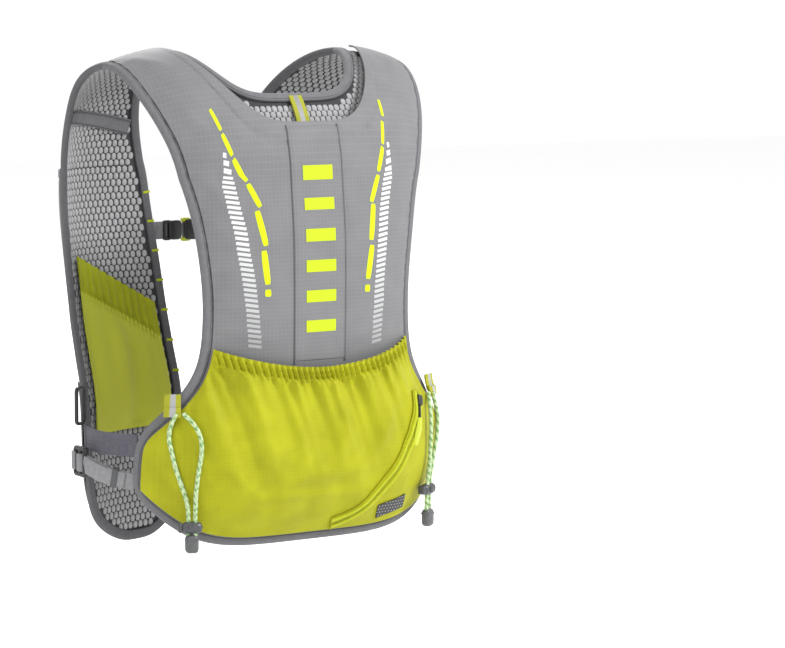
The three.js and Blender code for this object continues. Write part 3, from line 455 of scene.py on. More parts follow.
def rounded_rect(width: float, height: float, corner: float, steps: int = 4) -> Array:
    """The points of a rectangle with rounded corners about the origin."""
    radius = max(min(corner, width / 2 - 0.01, height / 2 - 0.01), 0.02)
    points = []
    for k, (sx, sy) in enumerate([(1, 1), (-1, 1), (-1, -1), (1, -1)]):
        for t in np.linspace(0, math.pi / 2, steps + 1):
            angle = k * math.pi / 2 + t
            points.append(
                (
                    sx * (width / 2 - radius) + radius * math.cos(angle),
                    sy * (height / 2 - radius) + radius * math.sin(angle),
                )
            )
    return np.array(points)


def block(width: float, height: float, thick: float, corner: float, edge: float = 0.8) -> Shape:
    """A plate with rounded corners and softened edges, centred, its thickness along z."""
    edge = min(edge, thick / 2 - 0.01)
    rings = []
    for angle in (90, 55, 20, 0):
        a = math.radians(angle)
        rings.append((edge * (1 - math.cos(a)), thick / 2 - edge * (1 - math.sin(a))))
    stack = rings + [(inset, -z) for inset, z in reversed(rings)]
    points = [
        np.column_stack([rounded_rect(width - 2 * i, height - 2 * i, corner - i), np.full(20, z)])
        for i, z in stack
    ]
    around = 20
    faces = grid_faces(len(stack), around, wrap=True)
    faces += [list(range(around)), list(range((len(stack) - 1) * around, len(stack) * around))[::-1]]
    joined = np.concatenate(points)
    return Shape(joined, faces, joined.copy())


def ring_of(width: float, height: float, corner: float, bar: float, thick: float) -> Shape:
    """A frame of one rounded bar round a rectangle, in the plane of x and y."""
    path2 = rounded_rect(width - bar, height - bar, max(corner - bar / 2, 0.4), 5)
    dense = []
    for a, b in zip(path2, np.roll(path2, -1, 0)):
        cuts = max(int(np.linalg.norm(b - a) / 3), 1)
        dense += [a + (b - a) * k / cuts for k in range(cuts)]
    path = np.column_stack([np.array(dense), np.zeros(len(dense))])
    normals = np.tile([0.0, 0.0, 1.0], (len(path), 1))
    return sweep(path, normals, rounded_rect(bar, thick, min(bar, thick) * 0.35, 3), closed=True)


def dense_path(points: Sequence[Sequence[float]], step: float) -> Array:
    """A smooth path through points, cut into steps of about one size."""
    given = np.asarray(points, float)
    lengths = path_lengths(given)
    fine = np.linspace(0, lengths[-1], max(int(lengths[-1] / step), 2) + 1)
    columns = [Profile(tuple(lengths), tuple(given[:, k]))(fine) for k in range(given.shape[1])]
    return np.column_stack(columns)


# Finishes


class Paint:
    """A short way to write a material's nodes."""

    def __init__(self, name: str) -> None:
        """Starts an empty material.

        Args:
            name: The material's name.
        """
        self.material = bpy.data.materials.new(name)
        self.material.use_nodes = True
        self.tree = self.material.node_tree
        self.tree.nodes.clear()
        self.output = self.tree.nodes.new("ShaderNodeOutputMaterial")
        self.shader = self.tree.nodes.new("ShaderNodeBsdfPrincipled")
        self.tree.links.new(self.shader.outputs[0], self.output.inputs["Surface"])

    def node(self, kind: str, inputs: dict | None = None, **settings: object) -> bpy.types.Node:
        """Adds a node.

        Args:
            kind: The node's type.
            inputs: Values or sockets for its inputs, by name or number.
            **settings: The node's own properties.

        Returns:
            The node.
        """
        made = self.tree.nodes.new(kind)
        for key, value in settings.items():
            setattr(made, key, value)
        for key, value in (inputs or {}).items():
            self.feed(made.inputs[key], value)
        return made

    def feed(self, socket: bpy.types.NodeSocket, value: object) -> None:
        """Links a socket to an input, or sets the input's own value."""
        if isinstance(value, bpy.types.NodeSocket):
            self.tree.links.new(value, socket)
        elif isinstance(value, tuple) and len(value) == 3 and socket.type == "RGBA":
            socket.default_value = (*value, 1.0)
        else:
            socket.default_value = value

    def maths(self, operation: str, *values: object) -> bpy.types.NodeSocket:
        """One step of arithmetic."""
        made = self.node("ShaderNodeMath", dict(enumerate(values)), operation=operation)
        return made.outputs[0]

    def mixed(self, share: object, low: object, high: object) -> bpy.types.NodeSocket:
        """A colour between two colours."""
        made = self.node("ShaderNodeMix", data_type="RGBA")
        self.feed(made.inputs[0], share)
        self.feed(made.inputs[6], low)
        self.feed(made.inputs[7], high)
        return made.outputs[2]

    def range(
        self, value: object, low: float, high: float, to_low: float, to_high: float
    ) -> bpy.types.NodeSocket:
        """A value carried from one range to another, held to its ends."""
        made = self.node(
            "ShaderNodeMapRange", {0: value, 1: low, 2: high, 3: to_low, 4: to_high}, clamp=True
        )
        return made.outputs[0]

    def cloth(self) -> tuple[bpy.types.NodeSocket, bpy.types.NodeSocket, bpy.types.NodeSocket]:
        """The place on the flat cloth, in millimetres, and its third value."""
        read = self.node("ShaderNodeAttribute", attribute_name="cloth")
        parts = self.node("ShaderNodeSeparateXYZ", {0: read.outputs["Vector"]})
        return parts.outputs[0], parts.outputs[1], parts.outputs[2]

    def noise(self, scale: float, detail: float = 2.0) -> bpy.types.NodeSocket:
        """Noise over the object."""
        where = self.node("ShaderNodeTexCoord").outputs["Object"]
        made = self.node("ShaderNodeTexNoise", {"Vector": where, "Scale": scale, "Detail": detail})
        return made.outputs[0]

    def lines(self, value: object, pitch: float, width: float) -> bpy.types.NodeSocket:
        """Thin lines across a value, 1 on the line and 0 between lines."""
        wave = self.maths("PINGPONG", self.maths("ABSOLUTE", value), pitch / 2)
        return self.range(wave, 0.0, width, 1.0, 0.0)

    def base(self, colour: object) -> None:
        """Gives the shader its colour."""
        self.feed(self.shader.inputs["Base Color"], colour)

    def bump(self, height: object, strength: float, distance: float) -> None:
        """Puts a height over the surface and feeds it to the shader."""
        made = self.node("ShaderNodeBump", {"Height": height, "Strength": strength, "Distance": distance})
        self.feed(self.shader.inputs["Normal"], made.outputs[0])

    def finish(self, roughness: object, **values: object) -> bpy.types.Material:
        """Sets the shader's other inputs.

        Args:
            roughness: The roughness.
            **values: Other inputs, with underscores for the spaces in their names.

        Returns:
            The material.
        """
        self.feed(self.shader.inputs["Roughness"], roughness)
        for key, value in values.items():
            self.feed(self.shader.inputs[key.replace("_", " ")], value)
        return self.material


@dataclass(frozen=True)
class Ripstop:
    """Thin cloth with a fine grid of heavier threads."""

    name: str
    colour: Colour
    thread: Colour
    shade: Colour
    pitch: float = 3.3
    width: float = 0.42
    strength: float = 0.32
    sheen: float = 0.04
    lower: Colour | None = None
    lower_from: float = 0.0

    def build(self) -> bpy.types.Material:
        """Makes the material, which may change its colour at a distance below the cloth's top edge."""
        p = Paint(self.name)
        x, v, down = p.cloth()
        grid = p.maths("MAXIMUM", p.lines(x, self.pitch, self.width), p.lines(v, self.pitch, self.width))
        weave = p.maths("MULTIPLY", p.lines(x, 0.42, 0.2), p.lines(v, 0.42, 0.2))
        patchy = p.noise(45.0, 3.0)
        tone = p.range(patchy, 0.35, 0.7, 0.0, 1.0)
        base = p.mixed(tone, self.colour, self.shade)
        if self.lower is not None:
            below = p.range(down, self.lower_from - 0.8, self.lower_from + 0.8, 0.0, 1.0)
            base = p.mixed(below, base, self.lower)
        colour = p.mixed(p.maths("MULTIPLY", grid, self.strength), base, self.thread)
        p.base(colour)
        height = p.maths("ADD", grid, p.maths("MULTIPLY", weave, 0.3))
        p.bump(height, 0.18, 0.00012)
        return p.finish(0.66, Sheen_Weight=self.sheen, Specular_IOR_Level=0.22)


@dataclass(frozen=True)
class Knit:
    """Plain knitted or woven cloth, with fine ribs along one direction."""

    name: str
    colour: Colour
    shade: Colour
    pitch: float = 1.0
    across: bool = False
    roughness: float = 0.85
    sheen: float = 0.05

    def build(self) -> bpy.types.Material:
        """Makes the material."""
        p = Paint(self.name)
        x, v, _ = p.cloth()
        main, other = (v, x) if self.across else (x, v)
        rib = p.lines(main, self.pitch, self.pitch * 0.5)
        cross = p.lines(other, self.pitch * 0.8, self.pitch * 0.4)
        both = p.maths("MULTIPLY_ADD", cross, 0.4, p.maths("MULTIPLY", rib, 0.6))
        fine = p.range(p.noise(300.0, 2.0), 0.3, 0.7, 0.0, 0.35)
        dark = p.maths("ADD", p.maths("MULTIPLY", p.maths("SUBTRACT", 1.0, both), 0.55), fine)
        p.base(p.mixed(dark, self.colour, self.shade))
        p.bump(both, 0.5, 0.00025)
        return p.finish(self.roughness, Sheen_Weight=self.sheen, Specular_IOR_Level=0.25)


@dataclass(frozen=True)
class Moulded:
    """Moulded plastic with a fine grain."""

    name: str
    colour: Colour
    roughness: float = 0.42
    grain: float = 900.0
    bump: float = 0.12

    def build(self) -> bpy.types.Material:
        """Makes the material."""
        p = Paint(self.name)
        p.base(self.colour)
        p.bump(p.noise(self.grain, 2.0), self.bump, 0.0001)
        rough = p.range(p.noise(60.0, 3.0), 0.3, 0.7, self.roughness - 0.06, self.roughness + 0.08)
        return p.finish(rough)


@dataclass(frozen=True)
class Printed:
    """A soft, slightly raised print on cloth, whose glow is painted light: a faint emission in the print's own
    colour.
    """

    name: str
    colour: Colour
    faded: Colour
    fade_from: float = 0.0
    fade_to: float = 0.0
    glow: float = 0.0

    def build(self) -> bpy.types.Material:
        """Makes the material."""
        p = Paint(self.name)
        _, v, _ = p.cloth()
        colour: object = self.colour
        if self.fade_to < self.fade_from:
            colour = p.mixed(p.range(v, self.fade_to, self.fade_from, 1.0, 0.0), self.colour, self.faded)
        p.base(colour)
        p.bump(p.noise(800.0, 2.0), 0.15, 0.0001)
        # Painted light: the print emits its own colour at the glow strength, though it is no lamp.
        if self.glow:
            p.feed(p.shader.inputs["Emission Color"], self.colour)
        return p.finish(0.6, Emission_Strength=self.glow, Specular_IOR_Level=0.2)


@dataclass(frozen=True)
class Braided:
    """An elastic cord's round braid, flecked with a second colour."""

    name: str
    colour: Colour
    fleck: Colour
    length: float = 224.2
    pitch: float = 2.6

    def build(self) -> bpy.types.Material:
        """Makes the material from the curve's own coordinates: x along it and y round it."""
        p = Paint(self.name)
        uv = p.node("ShaderNodeTexCoord").outputs["UV"]
        parts = p.node("ShaderNodeSeparateXYZ", {0: uv})
        along = p.maths("MULTIPLY", parts.outputs[0], self.length / self.pitch)
        one = p.maths("ADD", along, p.maths("MULTIPLY", parts.outputs[1], 3.0))
        two = p.maths("SUBTRACT", along, p.maths("MULTIPLY", parts.outputs[1], 3.0))
        first = p.lines(one, 2.0, 0.85)
        second = p.lines(two, 1.0, 0.3)
        flecks = p.range(p.noise(420.0, 1.0), 0.38, 0.5, 0.25, 1.0)
        share = p.maths("MULTIPLY", p.maths("MAXIMUM", first, p.maths("MULTIPLY", second, 0.35)), flecks)
        p.base(p.mixed(share, self.colour, self.fleck))
        p.bump(p.maths("ADD", first, second), 0.5, 0.0002)
        return p.finish(0.7, Sheen_Weight=0.2)


@dataclass(frozen=True)
class Spotted:
    """Dark film with rows of small light dots."""

    name: str
    colour: Colour
    dot: Colour
    pitch: float = 3.2
    radius: float = 0.62

    def build(self) -> bpy.types.Material:
        """Makes the material."""
        p = Paint(self.name)
        x, v, _ = p.cloth()
        dx = p.maths("PINGPONG", p.maths("ABSOLUTE", x), self.pitch / 2)
        dv = p.maths("PINGPONG", p.maths("ABSOLUTE", v), self.pitch / 2)
        far = p.maths("SQRT", p.maths("ADD", p.maths("MULTIPLY", dx, dx), p.maths("MULTIPLY", dv, dv)))
        dots = p.range(far, self.radius - 0.15, self.radius + 0.15, 1.0, 0.0)
        p.base(p.mixed(dots, self.colour, self.dot))
        return p.finish(0.5)


@dataclass(frozen=True)
class Striped:
    """A tape with a stripe along its middle, which reads the third value across the tape."""

    name: str
    colour: Colour
    stripe: Colour
    half: float
    pitch: float = 0.9

    def build(self) -> bpy.types.Material:
        """Makes the material."""
        p = Paint(self.name)
        x, v, across = p.cloth()
        inside = p.range(p.maths("ABSOLUTE", across), self.half - 0.2, self.half + 0.2, 1.0, 0.0)
        rib = p.maths(
            "MULTIPLY", p.lines(x, self.pitch, self.pitch / 2), p.lines(v, self.pitch, self.pitch / 2)
        )
        tone = p.mixed(inside, self.colour, self.stripe)
        shade = p.mixed(0.75, (0.0, 0.0, 0.0), tone)
        p.base(p.mixed(p.range(rib, 0.0, 0.6, 0.0, 1.0), shade, tone))
        p.bump(rib, 0.4, 0.0002)
        return p.finish(p.range(inside, 0.0, 1.0, 0.7, 0.42))


GREY: Colour = (0.172, 0.172, 0.177)
LIME: Colour = (0.345, 0.348, 0.003)


@dataclass(frozen=True)
class Finishes:
    """Every finish of the vest."""

    grey: Ripstop = Ripstop("grey_ripstop", GREY, (0.238, 0.238, 0.244), (0.155, 0.155, 0.162))
    lime: Ripstop = Ripstop("lime_ripstop", LIME, (0.45, 0.46, 0.02), (0.285, 0.285, 0.002), strength=0.16)
    stretch: Ripstop = Ripstop(
        "lime_stretch", (0.33, 0.35, 0.005), (0.409, 0.436, 0.02), (0.277, 0.304, 0.004), pitch=2.1,
        width=0.3,
        strength=0.12, sheen=0.05, lower=(0.462, 0.488, 0.04), lower_from=29.0,
    )
    mesh: Knit = Knit("air_mesh", (0.396, 0.396, 0.403), (0.277, 0.277, 0.284), pitch=0.9)
    mesh_dark: Knit = Knit("air_mesh_yoke", (0.33, 0.33, 0.34), (0.21, 0.21, 0.22), pitch=0.9)
    base: Knit = Knit("mesh_base", (0.056, 0.056, 0.059), (0.033, 0.033, 0.036), pitch=0.8)
    binding: Knit = Knit("edge_tape", (0.168, 0.168, 0.178), (0.109, 0.109, 0.115), pitch=0.8, across=True)
    front_binding: Knit = Knit(
        "front_edge_tape", (0.125, 0.125, 0.132), (0.079, 0.079, 0.086), pitch=0.8, across=True
    )
    webbing: Knit = Knit("webbing", (0.264, 0.264, 0.271), (0.158, 0.158, 0.165), pitch=1.3, roughness=0.8)
    daisy: Knit = Knit(
        "daisy_webbing", (0.145, 0.145, 0.155), (0.086, 0.086, 0.092), pitch=1.1, roughness=0.8
    )
    elastic: Knit = Knit(
        "rib_elastic", (0.125, 0.122, 0.145), (0.059, 0.058, 0.073), pitch=2.4, roughness=0.8
    )
    seam: Knit = Knit("seam", (0.099, 0.099, 0.106), (0.053, 0.053, 0.056), pitch=1.0)
    piping: Knit = Knit("lime_piping", (0.462, 0.502, 0.02), (0.33, 0.356, 0.007), pitch=0.8)
    lime_seam: Knit = Knit("lime_seam", (0.264, 0.284, 0.005), (0.165, 0.185, 0.004), pitch=1.0)
    stitch: Knit = Knit("lime_thread", (0.436, 0.502, 0.013), (0.317, 0.37, 0.007), pitch=0.6)
    plastic: Moulded = Moulded("black_plastic", (0.012, 0.012, 0.013))
    grey_plastic: Moulded = Moulded("grey_plastic", (0.056, 0.058, 0.063), 0.36)
    clip: Moulded = Moulded("grey_clip", (0.086, 0.088, 0.092), 0.38)
    orange: Moulded = Moulded("orange_plastic", (0.528, 0.073, 0.013), 0.35)
    lime_plastic: Moulded = Moulded("lime_plastic", (0.436, 0.488, 0.02), 0.4)
    # The glow values of the prints below are painted light, an emission that brightens them.
    dash: Printed = Printed("lime_print", (0.502, 0.647, 0.007), (0.502, 0.647, 0.007), glow=0.1)
    bars: Printed = Printed(
        "white_print", (0.568, 0.574, 0.574), (0.277, 0.277, 0.284), fade_from=-150.0, fade_to=-236.0,
        glow=0.04
    )
    front_bars: Printed = Printed(
        "front_white_print", (0.568, 0.574, 0.574), (0.297, 0.297, 0.304), fade_from=-200.0, fade_to=-250.0,
        glow=0.04
    )
    column_bars: Printed = Printed("column_print", (0.436, 0.541, 0.013), (0.436, 0.541, 0.013), glow=0.05)
    cord: Braided = Braided("speckled_cord", (0.50, 0.60, 0.36), (0.06, 0.22, 0.02))
    patch: Spotted = Spotted("dotted_patch", (0.015, 0.015, 0.017), (0.363, 0.363, 0.37), 3.0, 0.5)
    tab: Striped = Striped("lime_tab", LIME, (0.37, 0.376, 0.37), 1.7)
    loop: Striped = Striped("lime_loop", LIME, (0.238, 0.244, 0.238), 2.3)
    tape: Striped = Striped("reflective_tape", (0.37, 0.409, 0.033), (0.218, 0.238, 0.198), 3.4)
    made: dict = field(default_factory=dict)

    def of(self, finish: object) -> bpy.types.Material:
        """The material of a finish, made once."""
        if finish.name not in self.made:
            self.made[finish.name] = finish.build()
        return self.made[finish.name]


# Putting pieces into the scene


@dataclass
class Wardrobe:
    """Turns shapes into objects of the scene."""

    finishes: Finishes
    counts: dict = field(default_factory=dict)

    def put(
        self, name: str, shape: Shape, finish: object, slot: str, replaces: Sequence[str] = ()
    ) -> bpy.types.Object:
        """Adds a piece to the scene.

        Args:
            name: The piece's name.
            shape: Its shape, in millimetres.
            finish: What it is made of.
            slot: Not used.
            replaces: The plain pieces that it is shown in place of.

        Returns:
            The object.
        """
        mesh = bpy.data.meshes.new(name)
        mesh.from_pydata((shape.points * MM).tolist(), [], shape.faces)
        place = mesh.attributes.new("cloth", "FLOAT_VECTOR", "POINT")
        place.data.foreach_set("vector", shape.places.astype(np.float32).ravel())
        mesh.polygons.foreach_set("use_smooth", [True] * len(mesh.polygons))
        work = bmesh.new()
        work.from_mesh(mesh)
        bmesh.ops.recalc_face_normals(work, faces=work.faces)
        work.to_mesh(mesh)
        work.free()
        mesh.set_sharp_from_angle(angle=math.radians(50))
        made = bpy.data.objects.new(name, mesh)
        bpy.context.scene.collection.objects.link(made)
        mesh.materials.append(self.finishes.of(finish))
        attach(made, ROOT)
        if replaces:
            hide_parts(*replaces)
        self.counts[name] = len(mesh.polygons)
        return made


# Layers of cloth


@dataclass(frozen=True)
class Layer:
    """One layer of cloth on a half of the vest: its inner side and its relief."""

    side: Side
    off: Spread
    relief: Spread = lambda x, v: np.zeros_like(np.asarray(x, float))
    thick: float = CLOTH

    def lift(self, x: Array, v: Array) -> Array:
        """The outer side's distance from the wearer's side."""
        return self.off(x, v) + self.thick + self.relief(x, v)

    def at(self, x: Array, v: Array, over: float = 0.0) -> Array:
        """Points over the layer's outer side."""
        x, v = np.broadcast_arrays(np.asarray(x, float), np.asarray(v, float))
        return BODY.place(self.side, x, v, self.lift(x, v) + over)

    def wall(self, x: Array, v: Array) -> Shape:
        """The closed cloth over a grid of places."""
        outer = self.at(x, v)
        inner = BODY.place(self.side, x, v, self.off(x, v) + self.relief(x, v))
        return sheet_of(outer, inner, np.stack([x, v], -1))

    def band(
        self, route: Array, width: float | Array, low: float, high: float, cuts: int = 4, crown: float = 0.0
    ) -> Shape:
        """A closed strip that lies on the layer along a route.

        Args:
            route: Places along its middle.
            width: Its width, one value or one for each place.
            low: How far over the layer its underside lies.
            high: How far over the layer its upper side lies.
            cuts: How many parts its width is cut into.
            crown: How much more its middle stands up.

        Returns:
            The strip.
        """
        run = unit(np.gradient(route, axis=0))
        aside = np.column_stack([-run[:, 1], run[:, 0]])
        u = np.linspace(-0.5, 0.5, cuts + 1)
        wide = np.broadcast_to(np.asarray(width, float), (len(route),))
        grid = route[:, None] + aside[:, None] * (u[None, :, None] * wide[:, None, None])
        x, v = grid[..., 0], grid[..., 1]
        top = high + crown * (1 - (2 * np.abs(u)) ** 2)[None]
        outer = BODY.place(self.side, x, v, self.lift(x, v) + top)
        inner = BODY.place(self.side, x, v, self.lift(x, v) + low)
        places = np.stack([x, v], -1)
        shape = sheet_of(outer, inner, places)
        count = x.size
        across = (u[None] * wide[:, None]).ravel()
        shape.places[:count, 2] = across
        shape.places[count:, 2] = across
        return shape


def flat_off(value: float) -> Spread:
    """The same distance everywhere."""
    return lambda x, v: np.full(np.broadcast(x, v).shape, float(value))


def dashes_along(layer: Layer, pairs: Sequence[tuple], widths: Sequence[float], over: float = 0.16) -> Shape:
    """Short printed strokes between pairs of places."""
    shapes = []
    for (x0, v0, x1, v1), width in zip(pairs, widths):
        length = math.hypot(x1 - x0, v1 - v0)
        t = np.linspace(0, 1, max(int(length / 2.5), 2) + 1)
        ends = np.array([0.0, 0.12, 0.5, 0.88, 1.0])
        t = np.unique(np.concatenate([t, ends]))
        route = np.column_stack([x0 + (x1 - x0) * t, v0 + (v1 - v0) * t])
        shape_width = width * (0.72 + 0.28 * np.sin(np.pi * np.clip(t, 0.0, 1.0)) ** 0.35)
        shapes.append(layer.band(route, shape_width, 0.02, over, cuts=3))
    return Shape.joined(shapes)


def ladder_bars(
    layer: Layer, line: Sequence[tuple], width: float, pitch: float, bar: float, outwards: float,
    over: float = 0.16
) -> Shape:
    """A row of short printed bars along one side of a line, which grow from a point at its top.

    Args:
        layer: What they lie on.
        line: Places along the line, from the top down.
        width: The bars' length at their longest.
        pitch: The distance between bars.
        bar: How thick a bar is.
        outwards: The sign of the side on which the bars lie.
        over: How far the print stands over the cloth.

    Returns:
        The bars.
    """
    path = dense_path(line, 1.0)
    along = path_lengths(path)
    shapes = []
    for k in range(int(along[-1] / pitch)):
        s = (k + 0.5) * pitch
        x = float(np.interp(s, along, path[:, 0]))
        v = float(np.interp(s, along, path[:, 1]))
        run = width * min(1.0, 0.25 + k * 0.16)
        t = np.linspace(0, 1, 5)
        route = np.column_stack([x + outwards * run * t, v + 0.16 * run * t])
        shapes.append(layer.band(route, np.full(5, bar), 0.02, over, cuts=2))
    return Shape.joined(shapes)


# The mesh of raised pads


@dataclass(frozen=True)
class PadLattice:
    """Rows of raised oval pads, as air mesh has, spread evenly over the worn form."""

    side: Side
    pitch_across: float = 6.0
    pitch_down: float = 5.6
    half_across: float = 2.45
    half_down: float = 3.1
    height: float = 0.95

    def centres(self, keep: Callable[[Array, Array], Array]) -> tuple[Array, ...]:
        """The pads' middles, and the cloth's length for a step across and a step down.

        Args:
            keep: Which places have a pad.

        Returns:
            x, v, the length across and the length down, for each pad.
        """
        fine_v = -np.arange(0.5, 400, 1.0)
        probe = BODY.point(self.side, np.full_like(fine_v, 95.0), fine_v)
        down = path_lengths(probe)
        rows = np.interp(np.arange(2.0, down[-1], self.pitch_down), down, fine_v)
        fine_x = np.linspace(0.0, 147.0, 220)
        found = []
        for k, v in enumerate(rows):
            arc = path_lengths(BODY.point(self.side, fine_x, np.full_like(fine_x, v)))
            shift = self.pitch_across / 2 * (k % 2)
            at = np.arange(-arc[-1], arc[-1], self.pitch_across)
            at = np.round(at / self.pitch_across) * self.pitch_across + shift
            at = at[np.abs(at) < arc[-1] - 1]
            x = np.sign(at) * np.interp(np.abs(at), arc, fine_x)
            found.append(np.column_stack([x, np.full_like(x, v)]))
        spots = np.concatenate(found)
        x, v = spots[:, 0], spots[:, 1]
        chosen = keep(x, v)
        x, v = x[chosen], v[chosen]
        over = np.minimum(v, -0.6)
        across = np.linalg.norm(
            BODY.point(self.side, x + 0.5, v) - BODY.point(self.side, x - 0.5, v), axis=-1
        )
        along = np.linalg.norm(
            BODY.point(self.side, x, over + 0.5) - BODY.point(self.side, x, over - 0.5), axis=-1
        )
        return x, v, across, along

    def shape(self, keep: Callable[[Array, Array], Array], base: Spread, facing: int) -> Shape:
        """The pads.

        Args:
            keep: Which places have a pad.
            base: The distance outward at which the pads stand.
            facing: 1 where they stand outward and -1 where they face the wearer.

        Returns:
            All pads as one shape.
        """
        x, v, across, along = self.centres(keep)
        angles = np.arange(8) * math.pi / 4 + math.pi / 8
        ring_a = np.sign(np.cos(angles)) * np.abs(np.cos(angles)) ** 0.8
        ring_b = np.sign(np.sin(angles)) * np.abs(np.sin(angles)) ** 0.8
        levels = ((1.0, -0.25), (0.9, 0.62), (0.55, 1.0))
        points, places = [], []
        for size, rise in levels:
            px = x[:, None] + ring_a * self.half_across * size / across[:, None]
            pv = np.minimum(v[:, None] + ring_b * self.half_down * size / along[:, None], -0.2)
            off = base(px, pv) + facing * self.height * rise
            points.append(BODY.place(self.side, px, pv, off))
            places.append(np.stack([px, pv, off], -1))
        stacked = np.stack(points, 1).reshape(-1, 3)
        flat = np.stack(places, 1).reshape(-1, 3)
        faces = []
        for pad in range(len(x)):
            start = pad * 24
            for level in (0, 8):
                for i in range(8):
                    a, b = start + level + i, start + level + (i + 1) % 8
                    faces.append([a, b, b + 8, a + 8])
            faces.append(list(range(start + 16, start + 24)))
        return Shape(stacked, faces, flat)


def inside_back(margin: float) -> Callable[[Array, Array], Array]:
    """Which places lie on the back panel, a margin inside its edge."""

    def keep(x: Array, v: Array) -> Array:
        """Tests the places."""
        edge = back_edge(v)
        s = np.minimum(np.abs(x) / edge, 1)
        across = np.abs(x) < edge - margin
        return across & (v > back_hem(s) + margin) & (v < back_top(x, NECK_DROP, 0.0) - margin)

    return keep


def inside_front(margin: float) -> Callable[[Array, Array], Array]:
    """Which places lie on a front panel, a margin inside its edges."""

    def keep(x: Array, v: Array) -> Array:
        """Tests the places."""
        inner, outer = front_inner(v), front_outer(v)
        across = (np.abs(x) > inner + margin) & (np.abs(x) < outer - margin)
        return across & (v > -FRONT_DROP + margin) & (v < -margin)

    return keep


# Edges of the back

SHOULDER_EDGE = float(back_edge(np.array(0.0)))


def back_top(x: Array, drop: float, widen: float) -> Array:
    """The top edge of a layer of the back: a dip of that drop between the neck's corners."""
    corner = NECK_HALF_WIDTH + widen
    r = np.minimum(np.abs(x) / corner, 1)
    return -drop * (1 - r**NECK_SQUARENESS) - SEAM_GAP


def back_hem(share: Array) -> Array:
    """The hem of the back at a share of its half width."""
    return -HEM_DROP + HEM_RISE * np.abs(share) ** 5


def sleeve_fill(x: Array, v: Array) -> Array:
    """How far the water sleeve stands off the back panel."""
    return 12 * SLEEVE_PROFILE(-v / BODY.length) * (1 - across_back(x, v) ** 3)


def sleeve_off(x: Array, v: Array) -> Array:
    """The inner side of the water sleeve."""
    return SHELL + LAYER_CLEAR + sleeve_fill(x, v)


def pocket_top(share: Array) -> Array:
    """The top edge of the back pocket."""
    return -231 - 17 * (1 - np.abs(share) ** 1.8)


def pocket_off(x: Array, v: Array) -> Array:
    """The inner side of the back pocket."""
    s = across_back(x, v)
    along = (pocket_top(s) - v) / (pocket_top(s) - back_hem(s))
    return sleeve_off(x, v) + CLOTH + LAYER_CLEAR + 17 * POCKET_PROFILE(along) * (1 - s**3.5)


def flask_off(x: Array, v: Array) -> Array:
    """The inner side of a flask pocket."""
    fill = 13 * FLASK_PROFILE((-v - 96) / (259 - 96))
    return SHELL + LAYER_CLEAR + fill * bow(across_front(x, v))


def lower_off(x: Array, v: Array) -> Array:
    """The inner side of a lower front pocket."""
    fill = 15 * POCKET_PROFILE((-v - 259) / (FRONT_DROP - 259))
    return SHELL + LAYER_CLEAR + fill * bow(across_front(x, v))


def stretch_off(x: Array, v: Array) -> Array:
    """The inner side of the left front stretch pocket."""
    return lower_off(x, v) + CLOTH + LAYER_CLEAR + 4 * bow(across_front(x, v))


def inner_top(share: Array) -> Array:
    """The top edge of a stretch pocket on the wearer's side."""
    return -165 - 52 * (1 - share)


def inner_off(x: Array, v: Array) -> Array:
    """The side of an inner pocket that lies against the front panel."""
    s = across_front(x, v)
    along = (inner_top(s) - v) / (inner_top(s) + 312)
    return -2 * LAYER_CLEAR - 7 * POCKET_PROFILE(along) * bow(s)


def span_across(
    edge: Callable[[Array], Array], top: Callable, bottom: Callable, shares: Array, rows: Array
) -> tuple:
    """A grid of places between a top and a bottom edge, across the back.

    Args:
        edge: Half the width at a drop.
        top: The top edge at a share of the half width.
        bottom: The bottom edge.
        shares: The columns, from -1 to 1.
        rows: The rows, from 0 to 1.

    Returns:
        x and v, rows by columns.
    """
    v = top(shares)[None] + (bottom(shares) - top(shares))[None] * rows[:, None]
    return shares[None] * edge(v), v


def front_grid(hand: Hand, shares: Array, rows: Array, top: Callable, bottom: Callable) -> tuple:
    """A grid of places between a top and a bottom edge, across a front panel."""
    v = top(shares)[None] + (bottom(shares) - top(shares))[None] * rows[:, None]
    return front_x(hand, shares[None], v), v


def level(value: float) -> Callable[[Array], Array]:
    """An edge at one height."""
    return lambda share: np.full_like(share, value)


TAPE_OUTLINE = np.array(
    [
        (-0.9, 3.3), (-0.4, 4.2), (1.2, 4.6), (3.6, 4.7), (5.8, 4.3), (7.0, 3.2), (7.4, 1.8),
        (7.0, 0.5), (5.8, -0.4), (3.6, -0.8), (1.2, -0.8), (-0.4, -0.6), (-0.9, 0.2),
    ]
)


def smooth_route(route: Array, step: float, passes: int) -> Array:
    """A route cut into even steps, with its corners rounded."""
    along = path_lengths(route)
    fine = np.linspace(0, along[-1], int(along[-1] / step) + 1)
    even_route = np.column_stack([np.interp(fine, along, route[:, 0]), np.interp(fine, along, route[:, 1])])
    for _ in range(passes):
        middle = (even_route[:-2] + 2 * even_route[1:-1] + even_route[2:]) / 4
        even_route[1:-1] = middle
    return even_route


def edge_tape(side: Side, route: Array, outer_sign: int, outline: Array = TAPE_OUTLINE) -> Shape:
    """The folded tape sewn round a cut edge.

    Args:
        side: The half of the vest.
        route: Places along the edge.
        outer_sign: The sign of the sweep's aside that points away from the cloth.
        outline: The tape's section: past the edge, and outward from the wearer's side.

    Returns:
        The tape.
    """
    x, v = route[:, 0], route[:, 1]
    middle = BODY.place(side, x, v, SHELL / 2)
    normals = BODY.outward(side, x, v)
    section = outline * np.array([outer_sign, 1.0]) - np.array([0.0, SHELL / 2])
    return sweep(middle, normals, section)


def edge_line(side: Side, route: Array, outer_sign: int, past: float, out: float, radius: float) -> Shape:
    """A thin round line that follows an edge, such as a row of stitches."""
    angles = np.linspace(0, 2 * math.pi, 7)[:-1]
    ring = np.column_stack([past + radius * np.cos(angles), out + radius * np.sin(angles)])
    return edge_tape(side, route, outer_sign, ring)


